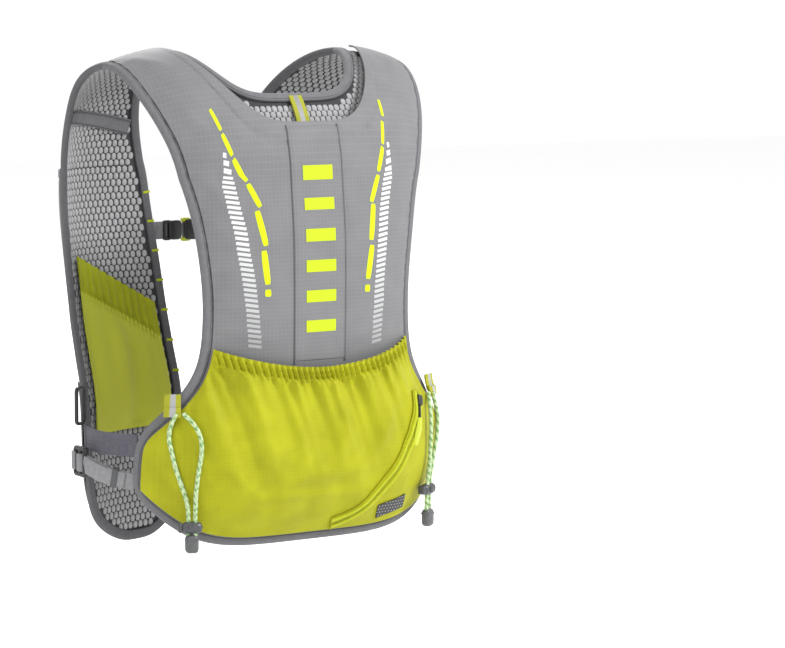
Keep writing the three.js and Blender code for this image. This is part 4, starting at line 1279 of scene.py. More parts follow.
def edge_stitches(side: Side, route: Array, outer_sign: int) -> Shape:
    """The two rows of stitches through an edge tape, and the fine line along its fold."""
    rows = ((-1.0, 3.9, 0.42), (-1.0, -0.2, 0.35), (1.2, 4.55, 0.22))
    return Shape.joined(edge_line(side, route, outer_sign, *row) for row in rows)


def back_route() -> Array:
    """The cut edge of the back: down its right side, along the hem and up its left side."""
    v_side = np.linspace(-SEAM_GAP, float(back_hem(np.array(1.0))), 170)
    s = np.linspace(-1, 1, 160)[1:-1]
    v_hem = back_hem(s)
    left = np.column_stack([back_edge(v_side), v_side])
    hem = np.column_stack([s * back_edge(v_hem), v_hem])
    return smooth_route(np.concatenate([left * [-1, 1], hem, left[::-1]]), 2.4, 12)


def neck_route() -> Array:
    """The cut edge of the neck."""
    x = np.linspace(-NECK_HALF_WIDTH, NECK_HALF_WIDTH, 120)
    return smooth_route(np.column_stack([x, back_top(x, NECK_DROP, 0.0)]), 2.2, 4)


def front_route(hand: Hand) -> Array:
    """The cut edge of a front panel: down its inner side, along the bottom and up its outer side."""
    v = np.linspace(-SEAM_GAP, -FRONT_DROP, 200)
    inner = np.column_stack([front_x(hand, 0.0, v), v])
    outer = np.column_stack([front_x(hand, 1.0, v), v])
    s = np.linspace(0, 1, 16)[1:-1]
    bottom = np.column_stack([front_x(hand, s, np.full_like(s, -FRONT_DROP)), np.full_like(s, -FRONT_DROP)])
    return smooth_route(np.concatenate([inner, bottom, outer[::-1]]), 2.4, 12)


# Sub-assemblies


@dataclass
class BackPanel:
    """The padded mesh against the wearer's back, and the tapes round its edges."""

    wardrobe: Wardrobe
    core_low: float = 0.9
    core_high: float = 2.1

    def build(self) -> None:
        """Builds the panel, its pads and its tapes."""
        f = self.wardrobe.finishes
        s = np.linspace(-1, 1, 101)
        top = lambda q: back_top(q * SHOULDER_EDGE, NECK_DROP, 0.0)
        x, v = span_across(back_edge, top, back_hem, s, even(90))
        core = Layer(Side.BACK, flat_off(self.core_low), thick=self.core_high - self.core_low)
        panel = self.wardrobe.put("back_mesh", core.wall(x, v), f.base, "spacer", ["back_panel"])
        pads = PadLattice(Side.BACK)
        inner = pads.shape(inside_back(PAD_MARGIN), flat_off(self.core_low), -1)
        parts = [self.wardrobe.put("back_pads", inner, f.mesh, "spacer")]
        keep = inside_back(PAD_MARGIN)
        band = lambda x, v: keep(x, v) & (v > back_top(x, SLEEVE_TOP_DROP, BINDING_WIDTH) - 8)
        outer = PadLattice(Side.BACK, 5.4, 5.0, 2.5, 3.1, 0.85).shape(band, flat_off(self.core_high), 1)
        parts.append(self.wardrobe.put("neck_pads", outer, f.mesh, "spacer"))
        self.tapes(f)

    def tapes(self, f: Finishes) -> None:
        """Builds the tapes of the outer edge and of the neck, with their stitches."""
        route = back_route()
        self.wardrobe.put(
            "back_edge_tape", edge_tape(Side.BACK, route, -1), f.binding, "binding", ["back_binding"]
        )
        lines = edge_stitches(Side.BACK, route, -1)
        self.wardrobe.put("back_edge_stitches", lines, f.seam, "binding")
        neck = neck_route()
        self.wardrobe.put(
            "neck_edge_tape", edge_tape(Side.BACK, neck, 1), f.binding, "binding", ["neck_binding"]
        )
        lines = edge_stitches(Side.BACK, neck, 1)
        self.wardrobe.put("neck_edge_stitches", lines, f.seam, "binding")


LEFT_DASHES = (
    (85, -62.9, 80, -73.7), (79.7, -75.5, 73.8, -85.6), (73.2, -87.3, 63.2, -99.6),
    (62.5, -102, 53.2, -120.6), (56, -123.6, 49.4, -150.2), (51.2, -154.1, 48, -180.8),
    (47.9, -184.9, 47.7, -190.4),
)
RIGHT_DASHES = (
    (-72.9, -60.4, -72.2, -69.2), (-70.1, -71.7, -66.3, -82.7), (-65.9, -84, -59.4, -95.4),
    (-59.2, -98.8, -50.9, -120.5), (-52.7, -122.1, -49.3, -150), (-50.2, -154, -46.1, -181.1),
    (-45.9, -185.9, -45.6, -191.4),
)
DASH_WIDTHS = (2.8, 3.2, 3.8, 4.6, 5.2, 5.4, 5.2)
LEFT_LADDER = (
    (79.2, -83.7), (74.8, -94.4), (71.4, -108.9), (68.1, -124.7), (64.5, -140), (62.5, -155.1),
    (59.4, -170.9), (57.2, -186.6), (54.9, -210.5), (53, -232.9),
)
RIGHT_LADDER = (
    (-71.6, -81.3), (-66.1, -97.4), (-62.1, -113.7), (-59, -129.5), (-57.2, -145), (-54.9, -168.7),
    (-53, -192.8), (-51.2, -217), (-50.5, -235.8),
)
BACK_FOLDS = (
    Fold((128, -8), (96, -40), 1.1, 5.0), Fold((121, -30), (88, -58), 0.9, 4.5),
    Fold((116, -52), (84, -80), 0.9, 4.5), Fold((-126, -10), (-100, -44), 0.9, 5.0),
    Fold((-114, -48), (-86, -72), 0.8, 4.5), Fold((98, -120), (66, -160), 1.0, 6.0),
    Fold((90, -190), (40, -215), 1.3, 7.0), Fold((-92, -185), (-40, -212), 1.2, 7.0),
    Fold((-96, -110), (-74, -150), 1.0, 5.5), Fold((88, -214), (28, -228), 1.0, 5.0),
    Fold((-86, -208), (-24, -230), 1.0, 5.0), Fold((100, -90), (78, -118), 0.9, 4.5),
)


@dataclass
class WaterSleeve:
    """The grey cloth sleeve over the back, with its raised column and its printed marks."""

    wardrobe: Wardrobe
    hem_width: float = 9.0
    column: float = 24.0
    bar_top: float = -96.0
    bar_pitch: float = 24.0
    bar_width: float = 28.0
    bar_height: float = 9.5

    def relief(self, x: Array, v: Array) -> Array:
        """The sleeve's folds, its folded top hem and the puckers beside the shoulders."""
        below = back_top(x, SLEEVE_TOP_DROP, BINDING_WIDTH) - v
        height = soft_waves(x, v, 0.35, 0.7)
        for fold in BACK_FOLDS:
            height = height + fold(x, v)
        in_neck = 1 - ease(np.abs(x), 84, 96)
        hem = 0.7 * (1 - ease(below, self.hem_width - 0.8, self.hem_width)) - 0.5 * np.exp(
            -(((below - self.hem_width) / 1.0) ** 2)
        )
        edge = back_edge(v) - np.abs(x)
        puckers = 0.45 * np.sin(2 * np.pi * v / 9.5 + 1.5 * np.sin(v / 17)) * np.exp(-edge / 9.0)
        flat = 1 - ease(np.abs(x), 20, 34)
        return height * (1 - 0.8 * flat) + hem * in_neck + puckers

    def layer(self) -> Layer:
        """The sleeve as a layer of cloth."""
        return Layer(Side.BACK, sleeve_off, self.relief)

    def build(self) -> None:
        """Builds the sleeve, its column and its prints."""
        f = self.wardrobe.finishes
        layer = self.layer()
        s = np.concatenate(
            [np.linspace(-1, -0.64, 26)[:-1], np.linspace(-0.64, 0.64, 76), np.linspace(0.64, 1, 26)[1:]]
        )
        top = lambda q: back_top(q * SHOULDER_EDGE, SLEEVE_TOP_DROP, BINDING_WIDTH)
        x, v = span_across(lambda v: back_edge(v) - 0.8, top, back_hem, s, even(110) ** 1.12)
        sleeve = self.wardrobe.put("water_sleeve", layer.wall(x, v), f.grey, "ripstop", ["bladder_sleeve"])
        route = np.column_stack([np.zeros(70), np.linspace(-74.0, -243.0, 70)])
        column = self.wardrobe.put(
            "back_column", layer.band(route, 2 * self.column, 0.1, 0.45, 16, 0.3), f.grey, "ripstop", [
                "centre_panel"
            ]
        )
        seams = []
        for x_seam in (-self.column, self.column):
            line = np.column_stack([np.full(80, x_seam), np.linspace(-73.0, -245.0, 80)])
            seams.append(layer.band(line, 1.8, 0.2, 0.9, 4, 0.7))
        piping = self.wardrobe.put("column_piping", Shape.joined(seams), f.grey, "ripstop")
        bars = []
        for k in range(6):
            v_bar = self.bar_top - self.bar_pitch * k
            line = np.column_stack([np.linspace(-0.5, 0.5, 12) * self.bar_width, np.full(12, v_bar)])
            bars.append(layer.band(line, self.bar_height, 0.78, 0.95, 4))
        plain = self.wardrobe.put("column_bars", Shape.joined(bars), f.column_bars, "lime")
        pieces = [column, piping, plain, *self.prints(layer, f)]

    def prints(self, layer: Layer, f: Finishes) -> list:
        """Builds the printed dashes and bars."""
        dashes = [
            dashes_along(layer, LEFT_DASHES, DASH_WIDTHS),
            dashes_along(layer, RIGHT_DASHES, DASH_WIDTHS),
        ]
        made = [self.wardrobe.put("back_dashes", Shape.joined(dashes), f.dash, "lime")]
        bars = [
            ladder_bars(layer, LEFT_LADDER, 10.5, 4.1, 2.4, 1.0),
            ladder_bars(layer, RIGHT_LADDER, 10.0, 4.1, 2.4, -1.0),
        ]
        made.append(self.wardrobe.put("back_bars", Shape.joined(bars), f.bars, "reflective"))
        return made


def arc_across(side: Side, v: float) -> tuple[Array, Array]:
    """The distance along the cloth for places across it, at one height."""
    x = np.linspace(0, 148, 300)
    return x, path_lengths(BODY.point(side, x, np.full_like(x, v)))


BACK_ARC = arc_across(Side.BACK, -260.0)
FRONT_ARC = arc_across(Side.FRONT, -280.0)


def along_edge(side: Side, x: Array) -> Array:
    """The signed distance along the cloth from the middle."""
    fine, arc = BACK_ARC if side is Side.BACK else FRONT_ARC
    return np.sign(x) * np.interp(np.abs(x), fine, arc)


POCKET_FOLDS = (
    Fold((-70, -262), (-40, -330), 3.0, 7.0), Fold((-20, -266), (-6, -340), 2.6, 7.0),
    Fold((30, -268), (22, -350), 2.8, 8.0), Fold((74, -262), (52, -336), 3.0, 7.0),
    Fold((-60, -330), (60, -338), 1.8, 6.0), Fold((-40, -352), (74, -350), 1.6, 5.0),
    Fold((10, -300), (64, -318), 1.6, 5.0), Fold((96, -262), (88, -320), 2.0, 6.0),
    Fold((-2, -290), (-34, -318), 1.4, 5.0), Fold((50, -356), (90, -320), 1.4, 5.0),
)


@dataclass
class BackPocket:
    """The lime gathered pocket low on the back, with its curved zip and its dotted patch."""

    wardrobe: Wardrobe
    gather: Gather = Gather(
        pitch=5.0, band=9.0, height=1.7, pucker=1.9, reach=26.0, swell=2.6, swell_reach=70.0
    )
    zip_out: tuple = (-0.61, -0.58, -0.525, -0.435, -0.34, -0.25, -0.18, -0.11)
    zip_down: tuple = (0.7127, 0.7656, 0.8175, 0.8766, 0.9265, 0.959, 0.9743, 0.983)

    def relief(self, x: Array, v: Array) -> Array:
        """The pocket's ruffles, puckers and folds."""
        s = across_back(x, v)
        along = along_edge(Side.BACK, x) + 0.35 * (pocket_top(s) - v)
        down = pocket_top(s) - v
        calm = 1 - ease(s, 0.93, 1.0)
        height = self.gather(along, down) * calm
        for fold in POCKET_FOLDS:
            height = height + fold(x, v) * calm
        hem = back_hem(s)
        near = ease(v - hem, 0, 10)
        return height * (0.25 + 0.75 * near) + soft_waves(x, v, 0.3, 1.9) * near * calm

    def layer(self) -> Layer:
        """The pocket as a layer of cloth."""
        return Layer(Side.BACK, pocket_off, self.relief)

    def build(self) -> None:
        """Builds the pocket and what is sewn on it."""
        f = self.wardrobe.finishes
        layer = self.layer()
        s = np.sin(np.linspace(-1, 1, 221) * math.pi / 2) * 0.35 + np.linspace(-1, 1, 221) * 0.65
        rows = np.concatenate([np.linspace(0, 0.09, 12), np.linspace(0.09, 1, 62)[1:]])
        x, v = span_across(lambda v: back_edge(v) - 1.4, pocket_top, lambda q: back_hem(q) + 1.0, s, rows)
        pocket = self.wardrobe.put("back_pocket_cloth", layer.wall(x, v), f.lime, "lime", ["back_pocket"])
        pieces = self.zip(layer, f) + self.patch(layer, f)

    def zip_route(self) -> Array:
        """Places along the zip."""
        given = np.column_stack(
            [np.multiply(self.zip_out, BODY.half_width), np.multiply(self.zip_down, -HEM_DROP)]
        )
        return dense_path(given, 1.5)

    def zip(self, layer: Layer, f: Finishes) -> list:
        """Builds the zip's tape, piping, coil, slider and pull."""
        route = self.zip_route()
        tape = self.wardrobe.put(
            "back_zip_cloth", layer.band(route, 12.0, 0.25, 1.5, 8, 0.3), f.lime, "lime", ["back_zip_tape"]
        )
        run = unit(np.gradient(route, axis=0))
        aside = np.column_stack([-run[:, 1], run[:, 0]])
        lips = [layer.band(route + aside * o, 3.0, 1.3, 2.2, 5, 1.3) for o in (-2.9, 2.9)]
        piping = self.wardrobe.put("back_zip_piping", Shape.joined(lips), f.piping, "lime")
        coil = self.wardrobe.put(
            "back_zip_coil", layer.band(route, 2.4, 1.2, 1.7, 3, 0.2), f.lime_seam, "lime"
        )
        start = route[2]
        slider = put_block(
            self.wardrobe, "back_zip_head", layer, (start[0], start[1] - 4), (6.6, 9.0, 3.4, 2.0), 1.6, -0.3,
            f.plastic, "plastic", ["back_zip_slider"],
        )
        x, v = start[0] + 0.6, start[1] - 8.5
        line = dense_path([(x, v), (x + 1.0, v - 5), (x + 2.2, v - 10)], 0.8)
        loop = self.wardrobe.put(
            "back_zip_loop", layer.band(line, 2.2, 1.2, 3.2, 4, 0.4), f.plastic, "plastic"
        )
        line = dense_path([(x + 1.8, v - 9), (x + 4.0, v - 20), (x + 6.4, v - 31)], 0.8)
        wide = 4.6 + 1.2 * np.sin(np.pi * np.linspace(0, 1, len(line))) ** 0.5
        pull = self.wardrobe.put(
            "back_zip_grip", layer.band(line, wide, 0.8, 3.0, 6, 1.4), f.lime_plastic, "lime", [
                "back_zip_pull"
            ]
        )
        return [tape, piping, coil, slider, loop, pull]

    def patch(self, layer: Layer, f: Finishes) -> list:
        """Builds the dotted patch in the pocket's lower corner."""
        u = np.linspace(0, 1, 24)
        route = np.column_stack([-BODY.half_width * (0.57 - 0.17 * u), -HEM_DROP * (0.949 + 0.018 * u)])
        patch = self.wardrobe.put(
            "dotted_patch", layer.band(route, 13.0, 0.3, 1.2, 6), f.patch, "plastic", ["corner_patch"]
        )
        return [patch]


def frame_on(layer: Layer, spot: tuple[float, float], over: float) -> tuple[Array, Array, Array, Array]:
    """A place on a layer, with the directions to the right, up the cloth and outward.

    Args:
        layer: The layer.
        spot: The place, x and v.
        over: The height over the layer.

    Returns:
        The point, right, up and out.
    """
    x, v = np.array([spot[0]]), np.array([spot[1]])
    point = layer.at(x, v, over)[0]
    up = unit(layer.at(x, v + 1.5) - layer.at(x, v - 1.5))[0]
    across = unit(layer.at(x + 1.5, v) - layer.at(x - 1.5, v))[0]
    out = unit(np.cross(across, up) * -layer.side.value)
    return point, np.cross(up, out), up, out


def put_block(
    wardrobe: Wardrobe, name: str, layer: Layer, spot: tuple[float, float], size: tuple[
        float, float, float, float
    ],
    over: float, tilt: float, finish: object, slot: str, replaces: Sequence[str] = (),
) -> bpy.types.Object:
    """Puts a rounded block on a layer, its height running down the cloth.

    Args:
        wardrobe: What makes the object.
        name: Its name.
        layer: What it lies on.
        spot: Where, x and v.
        size: Its width, height, thickness and corner.
        over: How far over the layer it starts.
        tilt: How far it is turned.
        finish: What it is made of.
        slot: A slot name, passed on to the wardrobe.
        replaces: The plain pieces that it is shown in place of.

    Returns:
        The object.
    """
    width, height, thick, corner = size
    point, right, up, out = frame_on(layer, spot, over + thick / 2)
    c, s = math.cos(tilt), math.sin(tilt)
    turned_right, turned_up = right * c + up * s, up * c - right * s
    shape = block(width, height, thick, corner, thick * 0.3).moved(point, turned_right, turned_up, out)
    return wardrobe.put(name, shape, finish, slot, replaces)


FRONT_DASHES = (
    (117.6, -112.2, 111.4, -124.2), (109.9, -128.1, 101.1, -140.2), (99.5, -142.8, 88.9, -155.8),
    (86.8, -157.6, 78.1, -170.5), (78.2, -174.4, 73.5, -194.7), (72.9, -198.5, 69.2, -217.3),
    (68.9, -221.6, 68.2, -227.0),
)
FRONT_WIDTHS = (3.4, 4.2, 4.8, 5.2, 5.4, 5.2, 5.2)
FRONT_LADDER = (
    (107.5, -138.7), (101.2, -150), (93.2, -162.2), (88.1, -168.9), (85, -177.8), (82.8, -186.8),
    (81.4, -200.4), (79.6, -211.8), (77.3, -226.3), (74.3, -247.3),
)
FLASK_FOLDS = (
    Fold((128, -104), (104, -150), 1.0, 6.0), Fold((60, -112), (76, -160), 0.9, 6.0),
    Fold((126, -170), (96, -210), 1.1, 7.0), Fold((56, -190), (82, -232), 1.0, 6.0),
    Fold((110, -200), (124, -246), 1.0, 6.0),
)
LOWER_FOLDS = (
    Fold((56, -270), (66, -330), 1.4, 7.0), Fold((92, -268), (84, -340), 1.5, 8.0),
    Fold((126, -266), (118, -330), 1.3, 7.0), Fold((64, -330), (118, -338), 1.1, 6.0),
    Fold((70, -362), (112, -358), 0.9, 5.0),
)


@dataclass
class FrontPanel:
    """One front panel: its mesh, its pockets, its prints and the tapes round its edges."""

    wardrobe: Wardrobe
    hand: Hand
    flask_top: float = 96.0
    lower_top: float = 256.5
    gather: Gather = Gather(
        pitch=5.0, band=8.0, height=1.3, pucker=1.3, reach=18.0, swell=1.8, swell_reach=50.0
    )
    elastic_down: float = 29.0

    def build(self) -> None:
        """Builds the whole panel."""
        f = self.wardrobe.finishes
        self.mesh(f)
        self.tapes(f)
        self.flask(f)
        self.lower(f)
        self.inner(f)
        self.reflector(f)

    def name(self, word: str) -> str:
        """A piece's name on this side."""
        return f"{word}_{self.hand.word}"

    def tape_line(self, x: Array, v: Array) -> Array:
        """The height of the reflective tape's middle, which the pads leave free."""
        s = across_front(x, v)
        return -51 - 17 * s + 4.5 * np.sin(np.pi * np.clip(s, 0, 1))

    def mesh(self, f: Finishes) -> None:
        """Builds the panel's dark core and the pads on both of its faces."""
        core = Layer(Side.FRONT, flat_off(0.9), thick=1.2)
        x, v = front_grid(self.hand, even(40), even(120), level(-SEAM_GAP), level(-FRONT_DROP + 0.5))
        panel = self.wardrobe.put(
            self.name("front_mesh"), core.wall(x, v), f.base, "spacer", [self.name("front_panel")]
        )
        sign = self.hand.value
        inside = inside_front(PAD_MARGIN)
        here = lambda x, v: inside(x, v) & (x * sign > 0)
        inner = PadLattice(Side.FRONT).shape(here, flat_off(0.9), -1)
        pads = [self.wardrobe.put(self.name("front_pads"), inner, f.mesh, "spacer")]
        above = lambda x, v: here(x, v) & (v > self.tape_line(x, v) + 1)
        fine = PadLattice(Side.FRONT, 4.4, 4.2, 2.0, 2.5, 0.8).shape(above, flat_off(2.1), 1)
        below = lambda x, v: here(x, v) & (v < self.tape_line(x, v) - 2) & (v > -108)
        wide = PadLattice(Side.FRONT, 7.4, 8.0, 3.2, 4.9, 0.9).shape(below, flat_off(2.1), 1)
        pads.append(
            self.wardrobe.put(self.name("yoke_pads"), Shape.joined([fine, wide]), f.mesh_dark, "spacer")
        )
        self.name("front_edge_tape")

    def tapes(self, f: Finishes) -> None:
        """Builds the folded tape round the panel, with its stitches."""
        route = front_route(self.hand)
        sign = self.hand.value
        self.wardrobe.put(
            self.name("front_edge_tape"), edge_tape(Side.FRONT, route, sign), f.front_binding, "binding",
            [self.name("front_binding")],
        )
        lines = edge_stitches(Side.FRONT, route, sign)
        self.wardrobe.put(self.name("front_edge_stitches"), lines, f.seam, "binding")

    def flask_relief(self, x: Array, v: Array) -> Array:
        """The flask pocket's folds and its top hem."""
        s = across_front(x, v)
        calm = ease(s, 0.0, 0.12) * (1 - ease(s, 0.9, 1.0))
        height = soft_waves(np.abs(x), v, 0.35, 2.3)
        for fold in FLASK_FOLDS:
            height = height + fold(np.abs(x), v)
        below = -self.flask_top - v
        hem = 0.6 * (1 - ease(below, 6.2, 7.0)) - 0.4 * np.exp(-(((below - 7.2) / 1.0) ** 2))
        foot = ease(v + 257.5, 0, 7)
        pucker = 0.5 * np.sin(2 * np.pi * along_edge(Side.FRONT, x) / 9.0) * np.exp(-(v + 258) / 12)
        return (height * foot + hem + pucker) * calm

    def flask_layer(self) -> Layer:
        """The flask pocket as a layer of cloth."""
        return Layer(Side.FRONT, flask_off, self.flask_relief)

    def flask(self, f: Finishes) -> None:
        """Builds the grey flask pocket and its prints."""
        layer = self.flask_layer()
        x, v = front_grid(
            self.hand, 0.015 + 0.97 * even(64), even(84), level(-self.flask_top), level(-257.6)
        )
        pocket = self.wardrobe.put(
            self.name("flask_cloth"), layer.wall(x, v), f.grey, "ripstop", [self.name("flask_pocket")]
        )
        sign = self.hand.value
        pairs = [(a * sign, b, c * sign, d) for a, b, c, d in FRONT_DASHES]
        dashes = self.wardrobe.put(
            self.name("front_dashes"), dashes_along(layer, pairs, FRONT_WIDTHS), f.dash, "lime"
        )
        line = [(a * sign, b) for a, b in FRONT_LADDER]
        bars = self.wardrobe.put(
            self.name("front_bars"), ladder_bars(layer, line, 10.0, 4.2, 2.4, sign), f.front_bars,
            "reflective"
        )
        self.name("front_edge_tape")

    def lower_relief(self, x: Array, v: Array) -> Array:
        """The lower pocket's ruffles, puckers and folds."""
        s = across_front(x, v)
        down = -self.lower_top - v
        calm = ease(s, 0.02, 0.1) * (1 - ease(s, 0.92, 0.99))
        height = self.gather(along_edge(Side.FRONT, x) + 0.3 * down, down)
        for fold in LOWER_FOLDS:
            height = height + fold(np.abs(x), v)
        return height * calm * ease(v + FRONT_DROP, 0, 9)

    def lower_layer(self) -> Layer:
        """The lower pocket as a layer of cloth."""
        return Layer(Side.FRONT, lower_off, self.lower_relief)

    def lower(self, f: Finishes) -> None:
        """Builds the lime pocket low on the panel."""
        layer = self.lower_layer()
        rows = np.concatenate([np.linspace(0, 0.085, 10), np.linspace(0.085, 1, 54)[1:]])
        x, v = front_grid(
            self.hand, 0.015 + 0.97 * even(120), rows, level(-self.lower_top), level(-FRONT_DROP + 1)
        )
        pocket = self.wardrobe.put(
            self.name("lower_cloth"), layer.wall(x, v), f.lime, "lime", [self.name("lower_pocket")]
        )
        seam_v = -357.0
        s = np.linspace(0.04, 0.96, 60)
        line = np.column_stack([front_x(self.hand, s, np.full_like(s, seam_v)), np.full_like(s, seam_v)])
        seam = self.wardrobe.put(
            self.name("lower_seam"), layer.band(line, 1.3, 0.0, 0.5, 3, 0.3), f.lime_seam, "lime"
        )
        self.name("front_edge_tape")

    def inner_relief(self, x: Array, v: Array) -> Array:
        """The inner pocket's pleats above its double elastic seam, and the soft folds under it."""
        s = across_front(x, v)
        down = inner_top(s) - v
        along = along_edge(Side.FRONT, x) * 1.15
        from_seam = down - self.elastic_down
        band = np.exp(-((from_seam / 6.0) ** 2))
        ruffle = 1.1 * np.sin(2 * np.pi * along / 4.6 + np.sin(along / 9)) * band
        seams = sum(np.exp(-(((from_seam - o) / 1.0) ** 2)) for o in (-3.2, 3.2))
        pleats = 0.9 * np.sin(2 * np.pi * along / 9.5 + 0.8 * np.sin(along / 13)) * (
            1 - ease(from_seam, -6, 0)
        )
        drape = 2.2 * np.sin(np.abs(x) / 8.3 + 0.02 * v + 0.6) + 1.2 * np.sin(np.abs(x) / 4.1 + 1.4 + v / 60)
        below = ease(from_seam, 2, 26) * (1 - ease(from_seam, 75, 100))
        calm = ease(s, 0.06, 0.16) * (1 - ease(s, 0.86, 0.94))
        return -(ruffle - 0.8 * seams + pleats + drape * below) * calm * ease(v + 313, 0, 8)

    def inner(self, f: Finishes) -> None:
        """Builds the lime stretch pocket on the wearer's side."""
        layer = Layer(Side.FRONT, lambda x, v: inner_off(x, v) - CLOTH, self.inner_relief)
        rows = np.concatenate([np.linspace(0, 0.12, 14), np.linspace(0.12, 1, 60)[1:]])
        x, v = front_grid(self.hand, 0.07 + 0.86 * even(90), rows, inner_top, level(-312.5))
        cloth = layer.wall(x, v)
        cloth.places[:, 2] = np.tile((inner_top(across_front(x, v)) - v).ravel(), 2)
        pocket = self.wardrobe.put(
            self.name("inner_cloth"), cloth, f.stretch, "lime", [self.name("inner_pocket")]
        )
        self.name("front_edge_tape")

    def reflector(self, f: Finishes) -> None:
        """Builds the arched reflective tape across the shoulder strap."""
        u = np.linspace(0, 1, 40)
        v = -68 + 17 * u + 4.5 * np.sin(np.pi * u)
        x = front_x(self.hand, 0.97 - 0.94 * u, v)
        layer = Layer(Side.FRONT, flat_off(SHELL + 0.2), thick=0.0)
        self.wardrobe.put(
            self.name("reflector"), layer.band(np.column_stack([x, v]), 12.0, 0.2, 1.4, 10), f.tape,
            "reflective",
            [self.name("reflective_tape")],
        )
        v = -74.3 + 12.0 * u
        x = front_x(self.hand, 0.05 + 0.9 * u, v)
        within = Layer(Side.FRONT, flat_off(-0.2), thick=0.0)
        route = np.column_stack([x, v])
        self.wardrobe.put(
            self.name("inside_band"), within.band(route, 9.0, -0.9, -0.2, 8), f.binding, "binding"
        )
        aside = np.array([0.0, 3.6])
        lines = [within.band(route + aside * o, 0.8, -1.2, -0.8, 2) for o in (-1, 1)]
        self.wardrobe.put(self.name("inside_stitches"), Shape.joined(lines), f.seam, "binding")


@dataclass
class DaisyStrip:
    """The webbing that runs over a front panel's inner tape, sewn down at even places."""

    wardrobe: Wardrobe
    hand: Hand
    width: float = 5.8
    step: float = 25.0

    def build(self) -> None:
        """Builds the strip and its thread bars, outside and inside."""
        f = self.wardrobe.finishes
        word = self.hand.word
        v = np.linspace(-95.5, -362.5, 150)
        x = self.hand.value * (front_inner(v) - 3.7)
        route = np.column_stack([x, v])
        along = path_lengths(route)
        swell = 0.7 * np.abs(np.sin(np.pi * along / self.step)) ** 0.7
        bowed = lambda x, v: np.interp(-v, -route[:, 1], swell)
        layer = Layer(Side.FRONT, flat_off(4.6), lambda x, v: bowed(x, v) * 0.6, 0.0)
        self.wardrobe.put(
            f"daisy_webbing_{word}", layer.band(route, self.width, 0.2, 1.3, 6, 0.15), f.daisy, "webbing",
            [f"daisy_strip_{word}"],
        )
        flat = Layer(Side.FRONT, flat_off(4.6), thick=0.0)
        inside = Layer(Side.FRONT, flat_off(-0.8), thick=0.0)
        bars = []
        for k in range(1, int(along[-1] / self.step) + 1):
            at = k * self.step
            centre = np.array([np.interp(at, along, route[:, i]) for i in (0, 1)])
            ahead = np.array([np.interp(at + 1, along, route[:, i]) for i in (0, 1)]) - centre
            side = np.array([-ahead[1], ahead[0]])
            side = side / np.linalg.norm(side)
            line = centre + side * np.linspace(-3.3, 3.3, 8)[:, None]
            bars.append(flat.band(line, 2.3, 0.9, 1.75, 3, 0.25))
            bars.append(inside.band(line, 2.0, -0.45, 0.1, 3))
        self.wardrobe.put(f"thread_bars_{word}", Shape.joined(bars), f.stitch, "lime")


@dataclass
class ChestStrap:
    """A buckled strap across the chest: two webbings, an adjuster and a side-release buckle."""

    wardrobe: Wardrobe
    word: str
    drop: float
    split: float = 3.85
    webbing_start: float = 21.15

    def seat(self) -> float:
        """How far forward the strap lies."""
        x = front_inner(np.array(-self.drop)) - 3.5
        point = BODY.point(Side.FRONT, x, np.array(7.5 - self.drop))
        return float(point[1] - 6.36 - 0.4 - 0.8)

    def along_x(
        self, start: float, end: float, y: float, width: float, thick: float, lift: float = 0.0
    ) -> Shape:
        """A flat webbing between two places across the chest."""
        count = max(int(abs(end - start) / 2), 4)
        x = np.linspace(start, end, count)
        bowed = y - lift * np.sin(np.pi * np.linspace(0, 1, count))
        path = np.column_stack([x, bowed, np.full(count, -self.drop)])
        normals = np.tile([0.0, -1.0, 0.0], (count, 1))
        return sweep(path, normals, rounded_rect(width, thick, thick * 0.45, 2))

    def build(self) -> None:
        """Builds the strap."""
        f = self.wardrobe.finishes
        y = self.seat()
        end = float(front_inner(np.array(-self.drop))) - 0.4
        axes = (np.array([1.0, 0, 0]), np.array([0, 0, 1.0]), np.array([0, -1.0, 0]))
        near = self.webbing_start
        for hand in (Hand.RIGHT, Hand.LEFT):
            webbing = [self.along_x(hand.value * end, hand.value * (near - 2.5), y, 15.0, 1.6)]
            if hand is Hand.LEFT:
                webbing.append(self.along_x(near - 2.0, near + 14.0, y - 2.2, 15.0, 1.5, 0.6))
            self.wardrobe.put(
                f"{self.word}_webbing_{hand.word}", Shape.joined(webbing), f.webbing, "webbing",
                [f"{self.word}_strap_{hand.word}"],
            )
        origin = lambda x, out, up: np.array([x, y - out, -self.drop + up])
        female = [
            block(21.0, 18.0, 7.0, 4.0, 1.8).moved(origin(self.split - 11.5, 0, 0), *axes),
            block(6.0, 16.4, 5.6, 2.0, 1.4).moved(origin(self.split - 23.0, 0, 0), *axes),
            block(13.0, 7.0, 1.2, 3.0, 0.5).moved(origin(self.split - 11.0, 3.6, 0), *axes),
        ]
        male = [
            block(12.0, 17.0, 6.0, 3.4, 1.6).moved(origin(self.split + 7.2, 0, 0), *axes),
            ring_of(8.0, 17.6, 2.4, 2.6, 4.2).moved(origin(self.split + 15.0, 0, 0), *axes),
            block(10.0, 6.0, 1.2, 2.6, 0.5).moved(origin(self.split + 6.6, 3.1, 0), *axes),
        ]
        tips = []
        for up in (-1, 1):
            tips.append(block(8.5, 3.8, 4.6, 1.6, 1.2).moved(origin(self.split - 3.6, 0, up * 8.3), *axes))
        for end_word, shapes in (("female", female), ("male", male)):
            self.wardrobe.put(
                f"{self.word}_clasp_{end_word}", Shape.joined(shapes), f.plastic, "plastic",
                [f"{self.word}_buckle_{end_word}"],
            )
        self.wardrobe.put(f"{self.word}_clasp_tips", Shape.joined(tips), f.lime_plastic, "lime")
        bar = block(3.0, 17.4, 3.6, 1.4, 1.2).moved(origin(self.split + 15.0, 1.0, 0), *axes)
        self.wardrobe.put(f"{self.word}_clasp_bar", bar, f.grey_plastic, "plastic")


